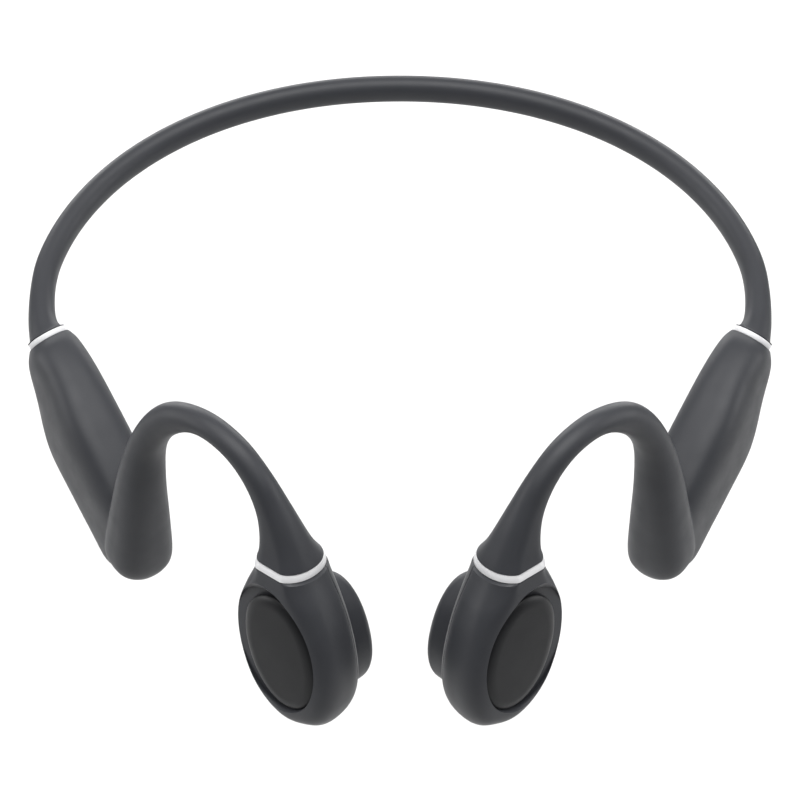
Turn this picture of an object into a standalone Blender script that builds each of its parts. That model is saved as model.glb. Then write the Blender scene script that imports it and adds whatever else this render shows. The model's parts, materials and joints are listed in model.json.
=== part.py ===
"""Bone conduction headphones: a springy neckband, two housings with ear hooks, and two transducers.

Shapes are worked out in millimetres on the wearer's left side, as (x, forward, z): x runs outward
from the middle plane, forward runs towards the face, and z runs up from the rear accent rings.
world() turns such a point into metres for either side.
"""
import math

import bmesh
import bpy
from mathutils import Matrix, Vector

MM = 0.001
GAP = 0.3                     # clearance between pieces that meet

# The whole object stands with its lowest points on z = 0 and its box centred on x = y = 0.
RING_HEIGHT = 33.06           # rear rings above the table
RING_SETBACK = 3.4           # rear rings behind the middle of the box

# Neckband: one arch in a plane that rises towards the back of the head.
BAND_HALF_SPAN = 72.6
BAND_ARCH_DEPTH = 60.5
BAND_STRAIGHT = 7.7
BAND_FULLNESS = 2.06
BAND_RISE = 10.3              # degrees
BAND_TUCK = 1.55              # how far the arms turn in before the rings
BAND_ARCH_SHARE = 0.9
BAND_HALF_THICKNESS = 2.48
BAND_HALF_HEIGHT = 3.01
FLEX_OUTSIDE = 0.05           # the flex axis lies this far outside the band's outer surface
FLARE_START = 0.88
FLARE_THICKNESS = 1.59
FLARE_HEIGHT = 1.12
FLARE_POWER = 1.6
BAND_SQUARENESS = 2.1
RING_TURN_START = 0.8         # from this share of the arm it turns into the ring's plane
BAND_STEPS = 20

CHANNEL_RADIUS = 1.6          # bore for the spring wire and the lead
WIRE_RADIUS = 0.65
WIRE_OFFSET = -0.65
LEAD_RADIUS = 0.4
LEAD_OFFSET = 0.85
BAND_ENTRY = (-17.0, -13.5, -9.5)            # the band's wires on the housing's axis
HOOK_ENTRY = ((7.5, 1.0), (11.5, 2.6))       # the hook's wires in the housing: along, lift
HOOK_WIRE_END = 3.5                          # past the front ring
HOOK_LEAD_END = 5.5

RING_HALF_WIDTH = 0.55        # the rear accent ring along the arm
NECK_RING_HALF_WIDTH = 0.68   # the accent ring at each transducer

BODY_SIDES = 20
BAND_SIDES = 16
OVAL_SIDES = 28

# Housing stations: x, forward, z, toe, pitch, bank, half thickness, half height, squareness,
# share of the half thickness at which the outer side is flat
HOUSING = [
    (70.12, -1.11, -0.01, 38.5, -36, 0, 4.09, 4.16, 2.3, 1.0),
    (68.82, 2.08, -1.76, 38, -36, 0, 5.25, 6.13, 2.6, 1.0),
    (66.15, 6.63, -5.62, 37, -37, 0, 5.78, 8.52, 3.0, 1.0),
    (62.74, 13.09, -11.6, 36, -37, 0, 6.51, 10.55, 3.4, 1.0),
    (58.14, 20.1, -17.2, 36, -38, 0, 6.59, 10.5, 3.4, 1.0),
    (54.12, 26.53, -22.24, 36, -38, 0, 6.35, 10.1, 3.3, 1.0),
    (51.4, 31.1, -25.75, 38, -38, 0, 6.0, 9.1, 3.2, 1.0),
    (50.0, 33.5, -27.4, 38, -38, 0, 4.4, 6.9, 2.8, 1.0),
]
# Ear hook stations from the bottom of the V, over the ear, to the front accent ring
HOOK = [
    (51.43, 30.38, -30.98, 36, 76, 0, 5.0, 4.91, 2.4, 1.0),
    (51.37, 32.0, -26.81, 37, 78, 0, 6.37, 5.75, 2.6, 1.0),
    (50.3, 33.68, -15.59, 39, 80, 0, 5.67, 5.24, 2.4, 1.0),
    (49.16, 34.93, -4.63, 41, 80, 0, 4.72, 4.45, 2.2, 1.0),
    (47.3, 36.15, 5.65, 43, 70, 0, 3.81, 3.38, 2.1, 1.0),
    (44.25, 38.39, 13.12, 45, 48, 0, 3.22, 3.17, 2.0, 1.0),
    (40.35, 41.6, 17.9, 46, 14, 3, 2.71, 3.15, 2.0, 1.0),
    (34.98, 46.01, 20.29, 47, -16, 6, 2.58, 2.51, 2.0, 1.0),
    (29.58, 50.9, 19.2, 48, -38, 8, 2.57, 2.44, 2.0, 1.0),
    (25.47, 54.79, 15.31, 49, -56, 9, 2.69, 2.65, 2.05, 1.0),
    (22.48, 57.51, 9.59, 50, -70, 10, 3.49, 3.05, 2.1, 0.98),
    (20.59, 59.35, 3.34, 50, -81, 10, 5.04, 4.51, 2.15, 0.9),
    (19.82, 59.84, -0.08, 50, -87.8, 10, 6.96, 5.85, 2.15, 0.88),
]
NECK = (20.2, 59.8, -1.3)     # origin of the transducer's axes, beside the front accent ring
RING_RELIEF = 0.15            # the front ring stands this far out of the limb
TRANSDUCER_TOE = 50
TRANSDUCER_PITCH = -65
TRANSDUCER_BANK = 10
# Transducer stations: along, lift, half thickness, half width, squareness, flat share, and the
# section's turn about the outward axis; the first lies in the front ring's plane
TRANSDUCER = [
    (-0.99, 0.81, 6.96, 5.85, 2.15, 0.88, -22.8),
    (1.03, 0.49, 6.98, 6.4, 2.2, 0.88, -20.0),
    (4.21, -0.84, 7.25, 8.19, 2.45, 0.88, -13.0),
    (8.02, -2.39, 7.14, 10.12, 2.8, 0.89, -4.0),
    (13.05, -3.09, 6.9, 11.26, 3.1, 0.9, 0.0),
    (18.57, -3.31, 6.88, 11.27, 3.15, 0.9, 0.0),
    (23.52, -3.3, 6.87, 10.32, 3.05, 0.91, 0.0),
    (27.66, -3.03, 6.56, 8.33, 2.85, 0.93, 0.0),
    (30.51, -2.68, 5.65, 5.89, 2.5, 0.97, 0.0),
    (32.28, -2.4, 3.33, 3.34, 2.2, 1.0, 0.0),
    (32.9, -2.0, 1.2, 1.2, 2.0, 1.0, 0.0),
]
SEAM = -3.6                   # the shell meets the inner cover here, towards the head

# Motor and control, in the transducer's own axes (outward, along, lift)
MOTOR_ALONG = 16.2
MOTOR_LIFT = -2.9
CAVITY = (11.6, 8.6)
CAVITY_SQUARENESS = 2.4
CAVITY_TOP = 3.1
CAP = (11.8, 8.0)
CAP_SQUARENESS = 2.1
CAP_CLEARANCE = 0.4
CAP_CHAMFER = (0.35, 0.6)     # down the side, in from the edge
CAP_BOTTOM = 4.75
CAP_TOP = 6.0
CAP_TRAVEL = 0.3
RECESS_FLOOR = 4.3
STEM_RADIUS = 1.4
SWITCH_TOP = 1.95
SWITCH_HALF = 1.9
PRESS_GAP = 0.1               # left between a stem and its switch when pressed
YOKE_RADIUS = 6.6
YOKE_WALL = 1.0
YOKE_TOP = 0.5
YOKE_BOTTOM = -2.85
MAGNET_RADIUS = 3.6
COIL_RADIUS = 5.1
COIL_WALL = 0.9
COIL_TOP = -1.2
SPRING_BELOW_SEAM = 0.1
SPRING_INSET = 0.5
SPRING_THICKNESS = 0.25
SPRING_HOLE = 5.9
PAD = (11.2, 7.0)
PAD_SQUARENESS = 2.15
PAD_CLEARANCE = 0.35
PAD_EDGE = [(0.0, 2.4, 2.2), (0.7, 0.9, 0.8), (2.2, 0.0, 0.0)]    # height over the face, inset along, up
PAD_BASE = -4.3
PAD_FACE = -12.9
PAD_ALONG = 18.4

# Inside of a housing, in the housing's own axes (outward, along, lift)
HOUSING_CENTRE = (58.9, 19.3, -16.5)
HOUSING_TOE = 35
HOUSING_PITCH = -36
BAY_OUTER = 4.5               # outer wall of the electronics bay
BAY_INNER = -4.3              # ledge that the inner cover rests on
BAY_REAR = -10.5
BAY_FRONT = 9.0
BAY_HALF_HEIGHT = 6.4
BAY_SQUARENESS = 4.5
BAY_BEVEL = 1.2
LEDGE = 0.8
TRAY_WALL = 0.8
TRAY_BEVEL = 0.8
HEAD_SIDE = -12.0             # clear of the housing on the head side
SKIN_UNDERSIDE = -10.1

# What the housings hold: low corner, high corner, bevel, finish
BATTERY_SIDE = {
    "battery": ((-2.2, -8.4, -4.6), (3.0, 6.8, 4.6), 0.6, "foil"),
    "battery_protection_board": ((-3.4, -5.0, -3.6), (-2.6, 5.0, 3.6), 0.1, "board"),
}
BOARD_SIDE = {
    "main_board": ((-2.6, -8.6, -2.6), (-1.8, 7.0, 4.6), 0.1, "board"),
    "chip_shield": ((-1.5, -4.0, -2.2), (0.0, 3.0, 4.0), 0.2, "foil"),
    "antenna": ((-1.5, -7.9, -2.0), (-0.5, -5.9, 4.0), 0.1, "ceramic"),
    "microphone": ((-1.5, 4.0, -1.6), (-0.4, 6.6, 0.6), 0.1, "foil"),
}

BUTTON_PLACES = {"volume_down": -6.0, "volume_up": 2.0}
BUTTON = (2.7, 1.4)           # half length and half width
BUTTON_SQUARENESS = 2.6
BUTTON_ROUNDING = (0.35, 0.4)
BUTTON_PROUD = 0.35
BUTTON_THICKNESS = 1.3
BUTTON_TRAVEL = 0.4
KEY_STEM_RADIUS = 0.9
KEY_STEM_BORE = 1.25
KEY_STEM_END = -4.9           # between the skin and the switch
KEY_SWITCH_TOP = -3.2
KEY_SWITCH_HALF = 1.4

SOUND_HOLE_PLACE = 6.8
SOUND_HOLE_RADIUS = 0.45
LIGHT_PLACE = -2.0
LIGHT_RADIUS = 0.65
LIGHT_CLEARANCE = 0.3
LIGHT_TOP = -6.7
LIGHT_HOLE_TOP = -6.0

PORT_PLACE = (-0.75, 0.0)     # charging contacts: along, lift
PORT_SLOT = (4.6, 2.3)
PORT_SEAT = (4.3, 2.0)
PORT_SQUARENESS = 5
PORT_FACE = -5.6
PORT_BACK = -3.2
PIN_PLACES = {"rear": -2.2, "front": 2.2}
PIN_RADIUS = 0.65
PIN_BORE = 0.95
PIN_BACK = -2.9

GRAPHITE = (0.085, 0.09, 0.098)
DARK_GRAPHITE = (0.05, 0.052, 0.058)
ACCENT = (0.78, 0.79, 0.8)
FINISHES = {
    "silicone": (GRAPHITE, 0.55, 0.0),
    "shell": (GRAPHITE, 0.45, 0.0),
    "cap": (DARK_GRAPHITE, 0.4, 0.0),
    "accent": (ACCENT, 0.3, 0.0),
    "titanium": ((0.5, 0.49, 0.47), 0.35, 1.0),
    "insulation": ((0.04, 0.04, 0.045), 0.6, 0.0),
    "steel": ((0.6, 0.6, 0.62), 0.3, 1.0),
    "magnet": ((0.45, 0.45, 0.47), 0.25, 1.0),
    "copper": ((0.72, 0.34, 0.17), 0.35, 1.0),
    "gold": ((0.83, 0.62, 0.27), 0.25, 1.0),
    "board": ((0.03, 0.16, 0.09), 0.5, 0.0),
    "foil": ((0.55, 0.57, 0.6), 0.4, 0.6),
    "ceramic": ((0.75, 0.73, 0.68), 0.5, 0.0),
    "tray": ((0.06, 0.062, 0.068), 0.6, 0.0),
    "lens": ((0.82, 0.85, 0.86), 0.2, 0.0),
}


# ---------------------------------------------------------------- space

def world(point, side):
    """Metres in the part's frame for a point in millimetres on the left (+1) or right (-1) side."""
    x, forward, z = point
    return Vector((side * x, RING_SETBACK - forward, z + RING_HEIGHT)) * MM


def directions(toe, pitch, bank=0.0):
    """Unit vectors along a limb, outward from the head, and up across the limb."""
    toe, pitch, bank = (math.radians(angle) for angle in (toe, pitch, bank))
    ahead = Vector((-math.sin(toe), math.cos(toe), 0.0))
    level_out = Vector((math.cos(toe), math.sin(toe), 0.0))
    vertical = Vector((0.0, 0.0, 1.0))
    outward = math.cos(bank) * level_out + math.sin(bank) * vertical
    upright = math.cos(bank) * vertical - math.sin(bank) * level_out
    along = math.cos(pitch) * ahead + math.sin(pitch) * upright
    lift = math.cos(pitch) * upright - math.sin(pitch) * ahead
    return along, outward, lift


class Axes:
    """A limb's own axes: points are given as (outward, along, lift) in millimetres."""

    def __init__(self, centre, toe, pitch, bank=0.0):
        self.centre = Vector(centre)
        self.along, self.outward, self.lift = directions(toe, pitch, bank)

    def at(self, outward, along, lift):
        return self.centre + self.outward * outward + self.along * along + self.lift * lift

    def matrix(self, place, side):
        """Object matrix with local X outward, Y along and Z by the right-hand rule."""
        origin = world(place, side)
        out = (world(Vector(place) + self.outward, side) - origin).normalized()
        ahead = (world(Vector(place) + self.along, side) - origin).normalized()
        third = out.cross(ahead)
        matrix = Matrix((out, ahead, third)).transposed().to_4x4()
        matrix.translation = origin
        return matrix


def smooth_rows(rows, steps):
    """Rows of numbers joined by a Catmull-Rom curve, with steps rows for each span."""
    rows = [Vector(row) for row in rows]
    padded = [2 * rows[0] - rows[1]] + rows + [2 * rows[-1] - rows[-2]]
    result = []
    for before, start, end, after in zip(padded, padded[1:], padded[2:], padded[3:]):
        for step in range(steps):
            t = step / steps
            linear = (end - before) * t
            square = (2 * before - 5 * start + 4 * end - after) * t ** 2
            cube = (3 * start - before - 3 * end + after) * t ** 3
            result.append(0.5 * (2 * start + linear + square + cube))
    result.append(rows[-1])
    return result


def oval(centre, across, up, half_across, half_up, squareness, sides, flat=1.0):
    """Superellipse points about centre; the +across side is cut flat at a share of its reach."""
    points = []
    for index in range(sides):
        angle = 2 * math.pi * index / sides
        cosine, sine = math.cos(angle), math.sin(angle)
        reach = math.copysign(abs(cosine) ** (2 / squareness), cosine)
        height = math.copysign(abs(sine) ** (2 / squareness), sine)
        points.append(centre + across * half_across * min(reach, flat) + up * half_up * height)
    return points


# ---------------------------------------------------------------- objects

def clear_scene():
    for leftover in list(bpy.data.objects):
        bpy.data.objects.remove(leftover, do_unlink=True)


def new_collection(name):
    collection = bpy.data.collections.new(name)
    bpy.context.scene.collection.children.link(collection)
    return collection


def finish_material(name, finish):
    colour, roughness, metallic = FINISHES[finish]
    material = bpy.data.materials.new(name)
    material.use_nodes = True
    shader = material.node_tree.nodes["Principled BSDF"]
    shader.inputs["Base Color"].default_value = (*colour, 1.0)
    shader.inputs["Roughness"].default_value = roughness
    shader.inputs["Metallic"].default_value = metallic
    return material


def dress(piece, finish, hub):
    """Give a piece its own material and hang it from the empty on its joint's axis."""
    piece.data.materials.clear()
    piece.data.materials.append(finish_material(piece.name, finish))
    piece.data.shade_smooth()
    piece.data.set_sharp_from_angle(angle=math.radians(35))
    piece.parent = hub
    piece.matrix_parent_inverse = hub.matrix_world.inverted()
    return piece


def as_cutter(piece):
    """Move an object to the cutters, which are never part of the model."""
    for collection in list(piece.users_collection):
        collection.objects.unlink(piece)
    CUTTERS.objects.link(piece)
    piece.hide_render = True
    piece.display_type = "WIRE"
    return piece


def combine(piece, tool, operation):
    modifier = piece.modifiers.new(operation.lower(), "BOOLEAN")
    modifier.operation = operation
    modifier.object = tool
    modifier.solver = "EXACT"
    return piece


def cut(piece, *tools):
    for tool in tools:
        combine(piece, tool, "DIFFERENCE")
    return piece


def add_object(name, mesh, matrix=None):
    piece = bpy.data.objects.new(name, mesh)
    if matrix is not None:
        piece.matrix_world = matrix
    PARTS.objects.link(piece)
    return piece


def loft(name, rings, side, origin=None):
    """A closed solid through rings of points, with its origin at origin or its middle."""
    if origin is None:
        flat_list = [point for ring in rings for point in ring]
        origin = sum(flat_list, Vector((0, 0, 0))) / len(flat_list)
    base = world(origin, side)
    work = bmesh.new()
    rows = [[work.verts.new(world(point, side) - base) for point in ring] for ring in rings]
    for low, high in zip(rows, rows[1:]):
        for index in range(len(low)):
            following = (index + 1) % len(low)
            work.faces.new((low[index], low[following], high[following], high[index]))
    work.faces.new(rows[0])
    work.faces.new(rows[-1])
    bmesh.ops.recalc_face_normals(work, faces=work.faces)
    mesh = bpy.data.meshes.new(name)
    work.to_mesh(mesh)
    work.free()
    return add_object(name, mesh, Matrix.Translation(base))


def oval_stack(name, axes, side, place, layers, sides=OVAL_SIDES):
    """Ovals stacked outward: place is (along, lift), a layer is (outward, half along, half lift, n)."""
    rings = []
    for outward, half_along, half_lift, squareness in layers:
        centre = axes.at(outward, *place)
        rings.append(oval(centre, axes.along, axes.lift, half_along, half_lift, squareness, sides))
    return loft(name, rings, side, axes.at(layers[0][0], *place))


def lift_stack(name, axes, side, place, layers, sides=OVAL_SIDES):
    """Ovals stacked along lift: place is (outward, along), a layer is (lift, half along, half out, n)."""
    rings = []
    for lift, half_along, half_out, squareness in layers:
        centre = axes.at(place[0], place[1], lift)
        rings.append(oval(centre, axes.along, axes.outward, half_along, half_out, squareness, sides))
    return loft(name, rings, side, axes.at(place[0], place[1], layers[0][0]))


def block(name, axes, side, low, high, bevel=0.0):
    """A box between two corners given as (outward, along, lift), with its edges bevelled."""
    size = [b - a for a, b in zip(low, high)]
    middle = axes.at(*[(a + b) / 2 for a, b in zip(low, high)])
    work = bmesh.new()
    bmesh.ops.create_cube(work, size=MM)
    bmesh.ops.scale(work, vec=Vector(size), verts=work.verts)
    mesh = bpy.data.meshes.new(name)
    work.to_mesh(mesh)
    work.free()
    piece = add_object(name, mesh, axes.matrix(middle, side))
    if bevel:
        modifier = piece.modifiers.new("edges", "BEVEL")
        modifier.width = bevel * MM
        modifier.segments = 1
    return piece


def tube(name, points, radius, side, origin=None):
    """A round bar along a smooth route, with closed ends."""
    origin = points[0] if origin is None else origin
    base = world(origin, side)
    curve = bpy.data.curves.new(name, "CURVE")
    curve.dimensions = "3D"
    curve.bevel_depth = radius * MM
    curve.bevel_resolution = 2
    curve.use_fill_caps = True
    spline = curve.splines.new("POLY")
    spline.points.add(len(points) - 1)
    for slot, point in zip(spline.points, points):
        slot.co = (*(world(point, side) - base), 1.0)
    guide = add_object(name + "_route", curve, Matrix.Translation(base))
    bpy.context.view_layer.update()
    evaluated = guide.evaluated_get(bpy.context.evaluated_depsgraph_get())
    mesh = bpy.data.meshes.new_from_object(evaluated)
    matrix = guide.matrix_world.copy()
    bpy.data.objects.remove(guide, do_unlink=True)
    work = bmesh.new()
    work.from_mesh(mesh)
    bmesh.ops.remove_doubles(work, verts=work.verts, dist=0.00001)
    bmesh.ops.recalc_face_normals(work, faces=work.faces)
    work.to_mesh(mesh)
    work.free()
    return add_object(name, mesh, matrix)


def lift_rod(name, side, along, radius, low, high):
    """A round cutter along the housing's lift axis."""
    layers = [(low, radius, radius, 2.0), (high, radius, radius, 2.0)]
    return as_cutter(lift_stack(name, HOUSING_AXES, side, (0.0, along), layers, 12))


def cylinder(name, axes, side, place, radius, bottom, top, sides=24):
    """A round slug along the outward axis: place is (along, lift)."""
    layers = [(bottom, radius, radius, 2.0), (top, radius, radius, 2.0)]
    return oval_stack(name, axes, side, place, layers, sides)


# ---------------------------------------------------------------- routes

def band_centre(share):
    """Middle of the neckband, from the back of the head (0) to the ring (1)."""
    if share < BAND_ARCH_SHARE:
        angle = share / BAND_ARCH_SHARE * math.pi / 2
        x = BAND_HALF_SPAN * math.sin(angle) ** (2 / BAND_FULLNESS)
        depth = BAND_STRAIGHT + BAND_ARCH_DEPTH * math.cos(angle) ** (2 / BAND_FULLNESS)
    else:
        turn = (share - BAND_ARCH_SHARE) / (1 - BAND_ARCH_SHARE)
        x = BAND_HALF_SPAN - BAND_TUCK * turn ** 2
        depth = BAND_STRAIGHT * (1 - turn)
    rise = math.radians(BAND_RISE)
    return Vector((x, -depth * math.cos(rise), depth * math.sin(rise)))


def band_frames(first=GAP / 2, steps=BAND_STEPS):
    """Centre, outward and upright directions along one arm, ending in the ring's plane."""
    rise = math.radians(BAND_RISE)
    upright = Vector((0.0, math.sin(rise), math.cos(rise)))
    ring_along, ring_out, ring_lift = directions(*HOUSING[0][3:6])
    end = Vector(HOUSING[0][:3]) - ring_along * (RING_HALF_WIDTH + GAP)
    frames = []
    for step in range(steps + 1):
        share = step / steps
        centre = band_centre(share)
        ahead = (band_centre(min(share + 0.01, 1.0)) - band_centre(max(share - 0.01, 0.0)))
        blend = smooth((share - RING_TURN_START) / (1 - RING_TURN_START))
        along = ahead.normalized().lerp(ring_along, blend).normalized()
        if step == 0:
            centre.x = first
            along = Vector((1.0, 0.0, 0.0))
        centre = centre.lerp(end, blend)
        outward = along.cross(upright.lerp(ring_lift, blend)).normalized()
        frames.append((centre, outward, outward.cross(along), share))
    return frames


def smooth(share):
    share = min(max(share, 0.0), 1.0)
    return share * share * (3 - 2 * share)


def band_route(offset):
    """A line inside the neckband, offset upright, that runs on into the housing's bay."""
    points = [centre + upright * offset for centre, _, upright, _ in band_frames()]
    lift = HOUSING_AXES.lift * offset
    points[-1:] = []
    for along in BAND_ENTRY:
        points.append(HOUSING_AXES.at(0.0, along, 0.0) + lift)
    return points


def hook_route(offset, tail):
    """A line inside the ear hook, offset outward, from the bay to tail mm past the front ring."""
    rows = [HOUSING_AXES.at(offset, *place) for place in HOOK_ENTRY]
    for x, forward, z, toe, pitch, bank, *_ in HOOK[2:-1]:
        outward = directions(toe, pitch, bank)[1]
        rows.append(Vector((x, forward, z)) + outward * offset)
    for along in (-2.0, 0.0, tail):
        rows.append(TRANSDUCER_AXES.at(offset, along, 0.0))
    return smooth_rows(rows, 2)


# ---------------------------------------------------------------- pieces

def station_rings(rows, steps, sides):
    rings = []
    for row in smooth_rows(rows, steps):
        _, outward, lift = directions(*row[3:6])
        rings.append(oval(Vector(row[:3]), outward, lift, *row[6:9], sides, row[9]))
    return rings


def housing_rings():
    """The housing body, starting just in front of the rear ring."""
    rings = station_rings(HOUSING, 2, BODY_SIDES)
    along = directions(*HOUSING[0][3:6])[0]
    rings[0] = [point + along * (RING_HALF_WIDTH + GAP) for point in rings[0]]
    return rings


def ring_plane():
    """Middle of the front accent ring and the directions of its section."""
    return Vector(HOOK[-1][:3]), directions(*HOOK[-1][3:6])


def hook_rings():
    """The ear hook; its outer side turns flat towards the transducer."""
    rings = station_rings(HOOK, 2, BODY_SIDES)
    _, (along, _, _) = ring_plane()
    rings[-1] = [point - along * (NECK_RING_HALF_WIDTH + GAP) for point in rings[-1]]
    return rings


def transducer_rings(steps=2):
    """The transducer body, starting just past the front ring."""
    centre, (normal, outward, lift) = ring_plane()
    start = NECK_RING_HALF_WIDTH + GAP
    sides = BODY_SIDES + 4
    rings = [oval(centre + normal * start, outward, lift, *HOOK[-1][6:9], sides, HOOK[-1][9])]
    for along, lift, half_out, half_lift, squareness, flat, turn in smooth_rows(TRANSDUCER, steps):
        middle = TRANSDUCER_AXES.at(0.0, along, lift)
        if (middle - centre).dot(normal) < start + 0.4:
            continue
        tilt = (TRANSDUCER_TOE, TRANSDUCER_PITCH + turn, TRANSDUCER_BANK)
        _, outward, up = directions(*tilt)
        rings.append(oval(middle, outward, up, half_out, half_lift, squareness, sides, flat))
    return rings


def make_band(side, name, hub):
    rings = []
    for centre, outward, upright, share in band_frames():
        flare = max(0.0, (share - FLARE_START) / (1 - FLARE_START)) ** FLARE_POWER
        half_out = BAND_HALF_THICKNESS + FLARE_THICKNESS * flare
        half_up = BAND_HALF_HEIGHT + FLARE_HEIGHT * flare
        rings.append(oval(centre, outward, upright, half_out, half_up, BAND_SQUARENESS, BAND_SIDES))
    apex = Vector((0.0, rings[0][0].y, rings[0][0].z))
    sleeve = loft(name + "_neckband_sleeve", rings, side, apex)
    route = band_route(0.0)
    route[0] = route[0] - Vector((1.0, 0.0, 0.0))
    channel = as_cutter(tube(name + "_band_channel", route, CHANNEL_RADIUS, side))
    dress(cut(sleeve, channel), "silicone", hub)
    wire = tube(name + "_neckband_wire", band_route(WIRE_OFFSET), WIRE_RADIUS, side, apex)
    dress(wire, "titanium", hub)
    lead = tube(name + "_neckband_lead", band_route(LEAD_OFFSET), LEAD_RADIUS, side, apex)
    dress(lead, "insulation", hub)
    return channel


def make_rear_ring(side, name, hub, channel):
    along, outward, lift = directions(*HOUSING[0][3:6])
    rings = []
    for step in (-RING_HALF_WIDTH, RING_HALF_WIDTH):
        centre = Vector(HOUSING[0][:3]) + along * step
        rings.append(oval(centre, outward, lift, *HOUSING[0][6:9], BODY_SIDES))
    dress(cut(loft(name + "_rear_ring", rings, side), channel), "accent", hub)


def bay_opening(name, side, inset, low, high):
    """The rounded window on the head side that the inner cover fills."""
    middle = (BAY_REAR + BAY_FRONT) / 2
    half_length = (BAY_FRONT - BAY_REAR) / 2 + LEDGE - inset
    half_height = BAY_HALF_HEIGHT + LEDGE - inset
    layers = [(level, half_length, half_height, BAY_SQUARENESS) for level in (low, high)]
    return oval_stack(name, HOUSING_AXES, side, (middle, 0.0), layers)


def make_housing(side, name, hub, band_channel):
    """Silicone skin of housing and hook in one moulding, with its tray and inner cover."""
    skin = loft(name + "_earhook_skin", housing_rings(), side)
    hook = as_cutter(loft(name + "_hook_body", hook_rings(), side))
    combine(skin, hook, "UNION")
    bay = as_cutter(block(name + "_bay", HOUSING_AXES, side,
                          (BAY_INNER - GAP, BAY_REAR, -BAY_HALF_HEIGHT),
                          (BAY_OUTER, BAY_FRONT, BAY_HALF_HEIGHT), BAY_BEVEL))
    window = as_cutter(bay_opening(name + "_window", side, 0.0, HEAD_SIDE, BAY_INNER))
    hook_channel = as_cutter(tube(name + "_hook_channel", hook_route(0.0, 6.0), CHANNEL_RADIUS, side))
    cut(skin, bay, window, band_channel, hook_channel)
    dress(skin, "silicone", hub)

    tray = block(name + "_housing_tray", HOUSING_AXES, side,
                 (BAY_INNER + GAP, BAY_REAR + GAP, -BAY_HALF_HEIGHT + GAP),
                 (BAY_OUTER - GAP, BAY_FRONT - GAP, BAY_HALF_HEIGHT - GAP), TRAY_BEVEL)
    inside = GAP + TRAY_WALL
    hollow = as_cutter(block(name + "_tray_hollow", HOUSING_AXES, side,
                             (BAY_INNER - 2.0, BAY_REAR + inside, -BAY_HALF_HEIGHT + inside),
                             (BAY_OUTER - inside, BAY_FRONT - inside, BAY_HALF_HEIGHT - inside)))
    dress(cut(tray, hollow, band_channel, hook_channel), "tray", hub)

    cover = loft(name + "_housing_cover", housing_rings(), side)
    panel = as_cutter(bay_opening(name + "_cover_outline", side, GAP, HEAD_SIDE, BAY_INNER - GAP))
    dress(combine(cover, panel, "INTERSECT"), "shell", hub)

    wire = tube(name + "_hook_wire", hook_route(WIRE_OFFSET, HOOK_WIRE_END), WIRE_RADIUS, side)
    dress(wire, "titanium", hub)
    lead = tube(name + "_hook_lead", hook_route(LEAD_OFFSET, HOOK_LEAD_END), LEAD_RADIUS, side)
    dress(lead, "insulation", hub)
    return skin, tray, cover, hook_channel


def make_front_ring(side, name, hub, channel):
    middle, (normal, outward, lift) = ring_plane()
    half_out, half_lift, squareness, flat = HOOK[-1][6:10]
    rings = []
    for shift in (-NECK_RING_HALF_WIDTH, NECK_RING_HALF_WIDTH):
        rings.append(oval(middle + normal * shift, outward, lift, half_out + RING_RELIEF,
                          half_lift + RING_RELIEF, squareness, BODY_SIDES + 4, flat))
    dress(cut(loft(name + "_front_ring", rings, side), channel), "accent", hub)


def make_transducer(side, name, hub, channel):
    """Outer shell with the control's recess, and the cover that frames the pad."""
    axes = TRANSDUCER_AXES
    place = (MOTOR_ALONG, MOTOR_LIFT)
    shell = loft(name + "_transducer_shell", transducer_rings(), side)
    inner_side = as_cutter(block(name + "_inner_side", axes, side, (-20, -10, -20), (SEAM, 45, 20)))
    hollow = [(level, *CAVITY, CAVITY_SQUARENESS) for level in (SEAM - 1.0, CAVITY_TOP)]
    cavity = as_cutter(oval_stack(name + "_cavity", axes, side, place, hollow))
    mouth = (CAP[0] + CAP_CLEARANCE, CAP[1] + CAP_CLEARANCE, CAP_SQUARENESS)
    recess = as_cutter(oval_stack(name + "_recess", axes, side, place,
                                  [(RECESS_FLOOR, *mouth), (CAP_TOP + 3.0, *mouth)]))
    stem_hole = as_cutter(cylinder(name + "_stem_hole", axes, side, place, STEM_RADIUS + CAP_CLEARANCE,
                                   CAVITY_TOP - 1.0, RECESS_FLOOR + 1.0, 16))
    dress(cut(shell, inner_side, cavity, recess, stem_hole, channel), "shell", hub)

    cover = loft(name + "_transducer_cover", transducer_rings(), side)
    outer_side = as_cutter(block(name + "_outer_side", axes, side, (SEAM - GAP, -10, -20), (20, 45, 20)))
    mouth = (PAD[0] + PAD_CLEARANCE, PAD[1] + PAD_CLEARANCE, PAD_SQUARENESS)
    pad_hole = as_cutter(oval_stack(name + "_pad_hole", axes, side, (PAD_ALONG, MOTOR_LIFT),
                                    [(PAD_FACE - 1.0, *mouth), (0.0, *mouth)]))
    dress(cut(cover, outer_side, pad_hole), "shell", hub)


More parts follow.
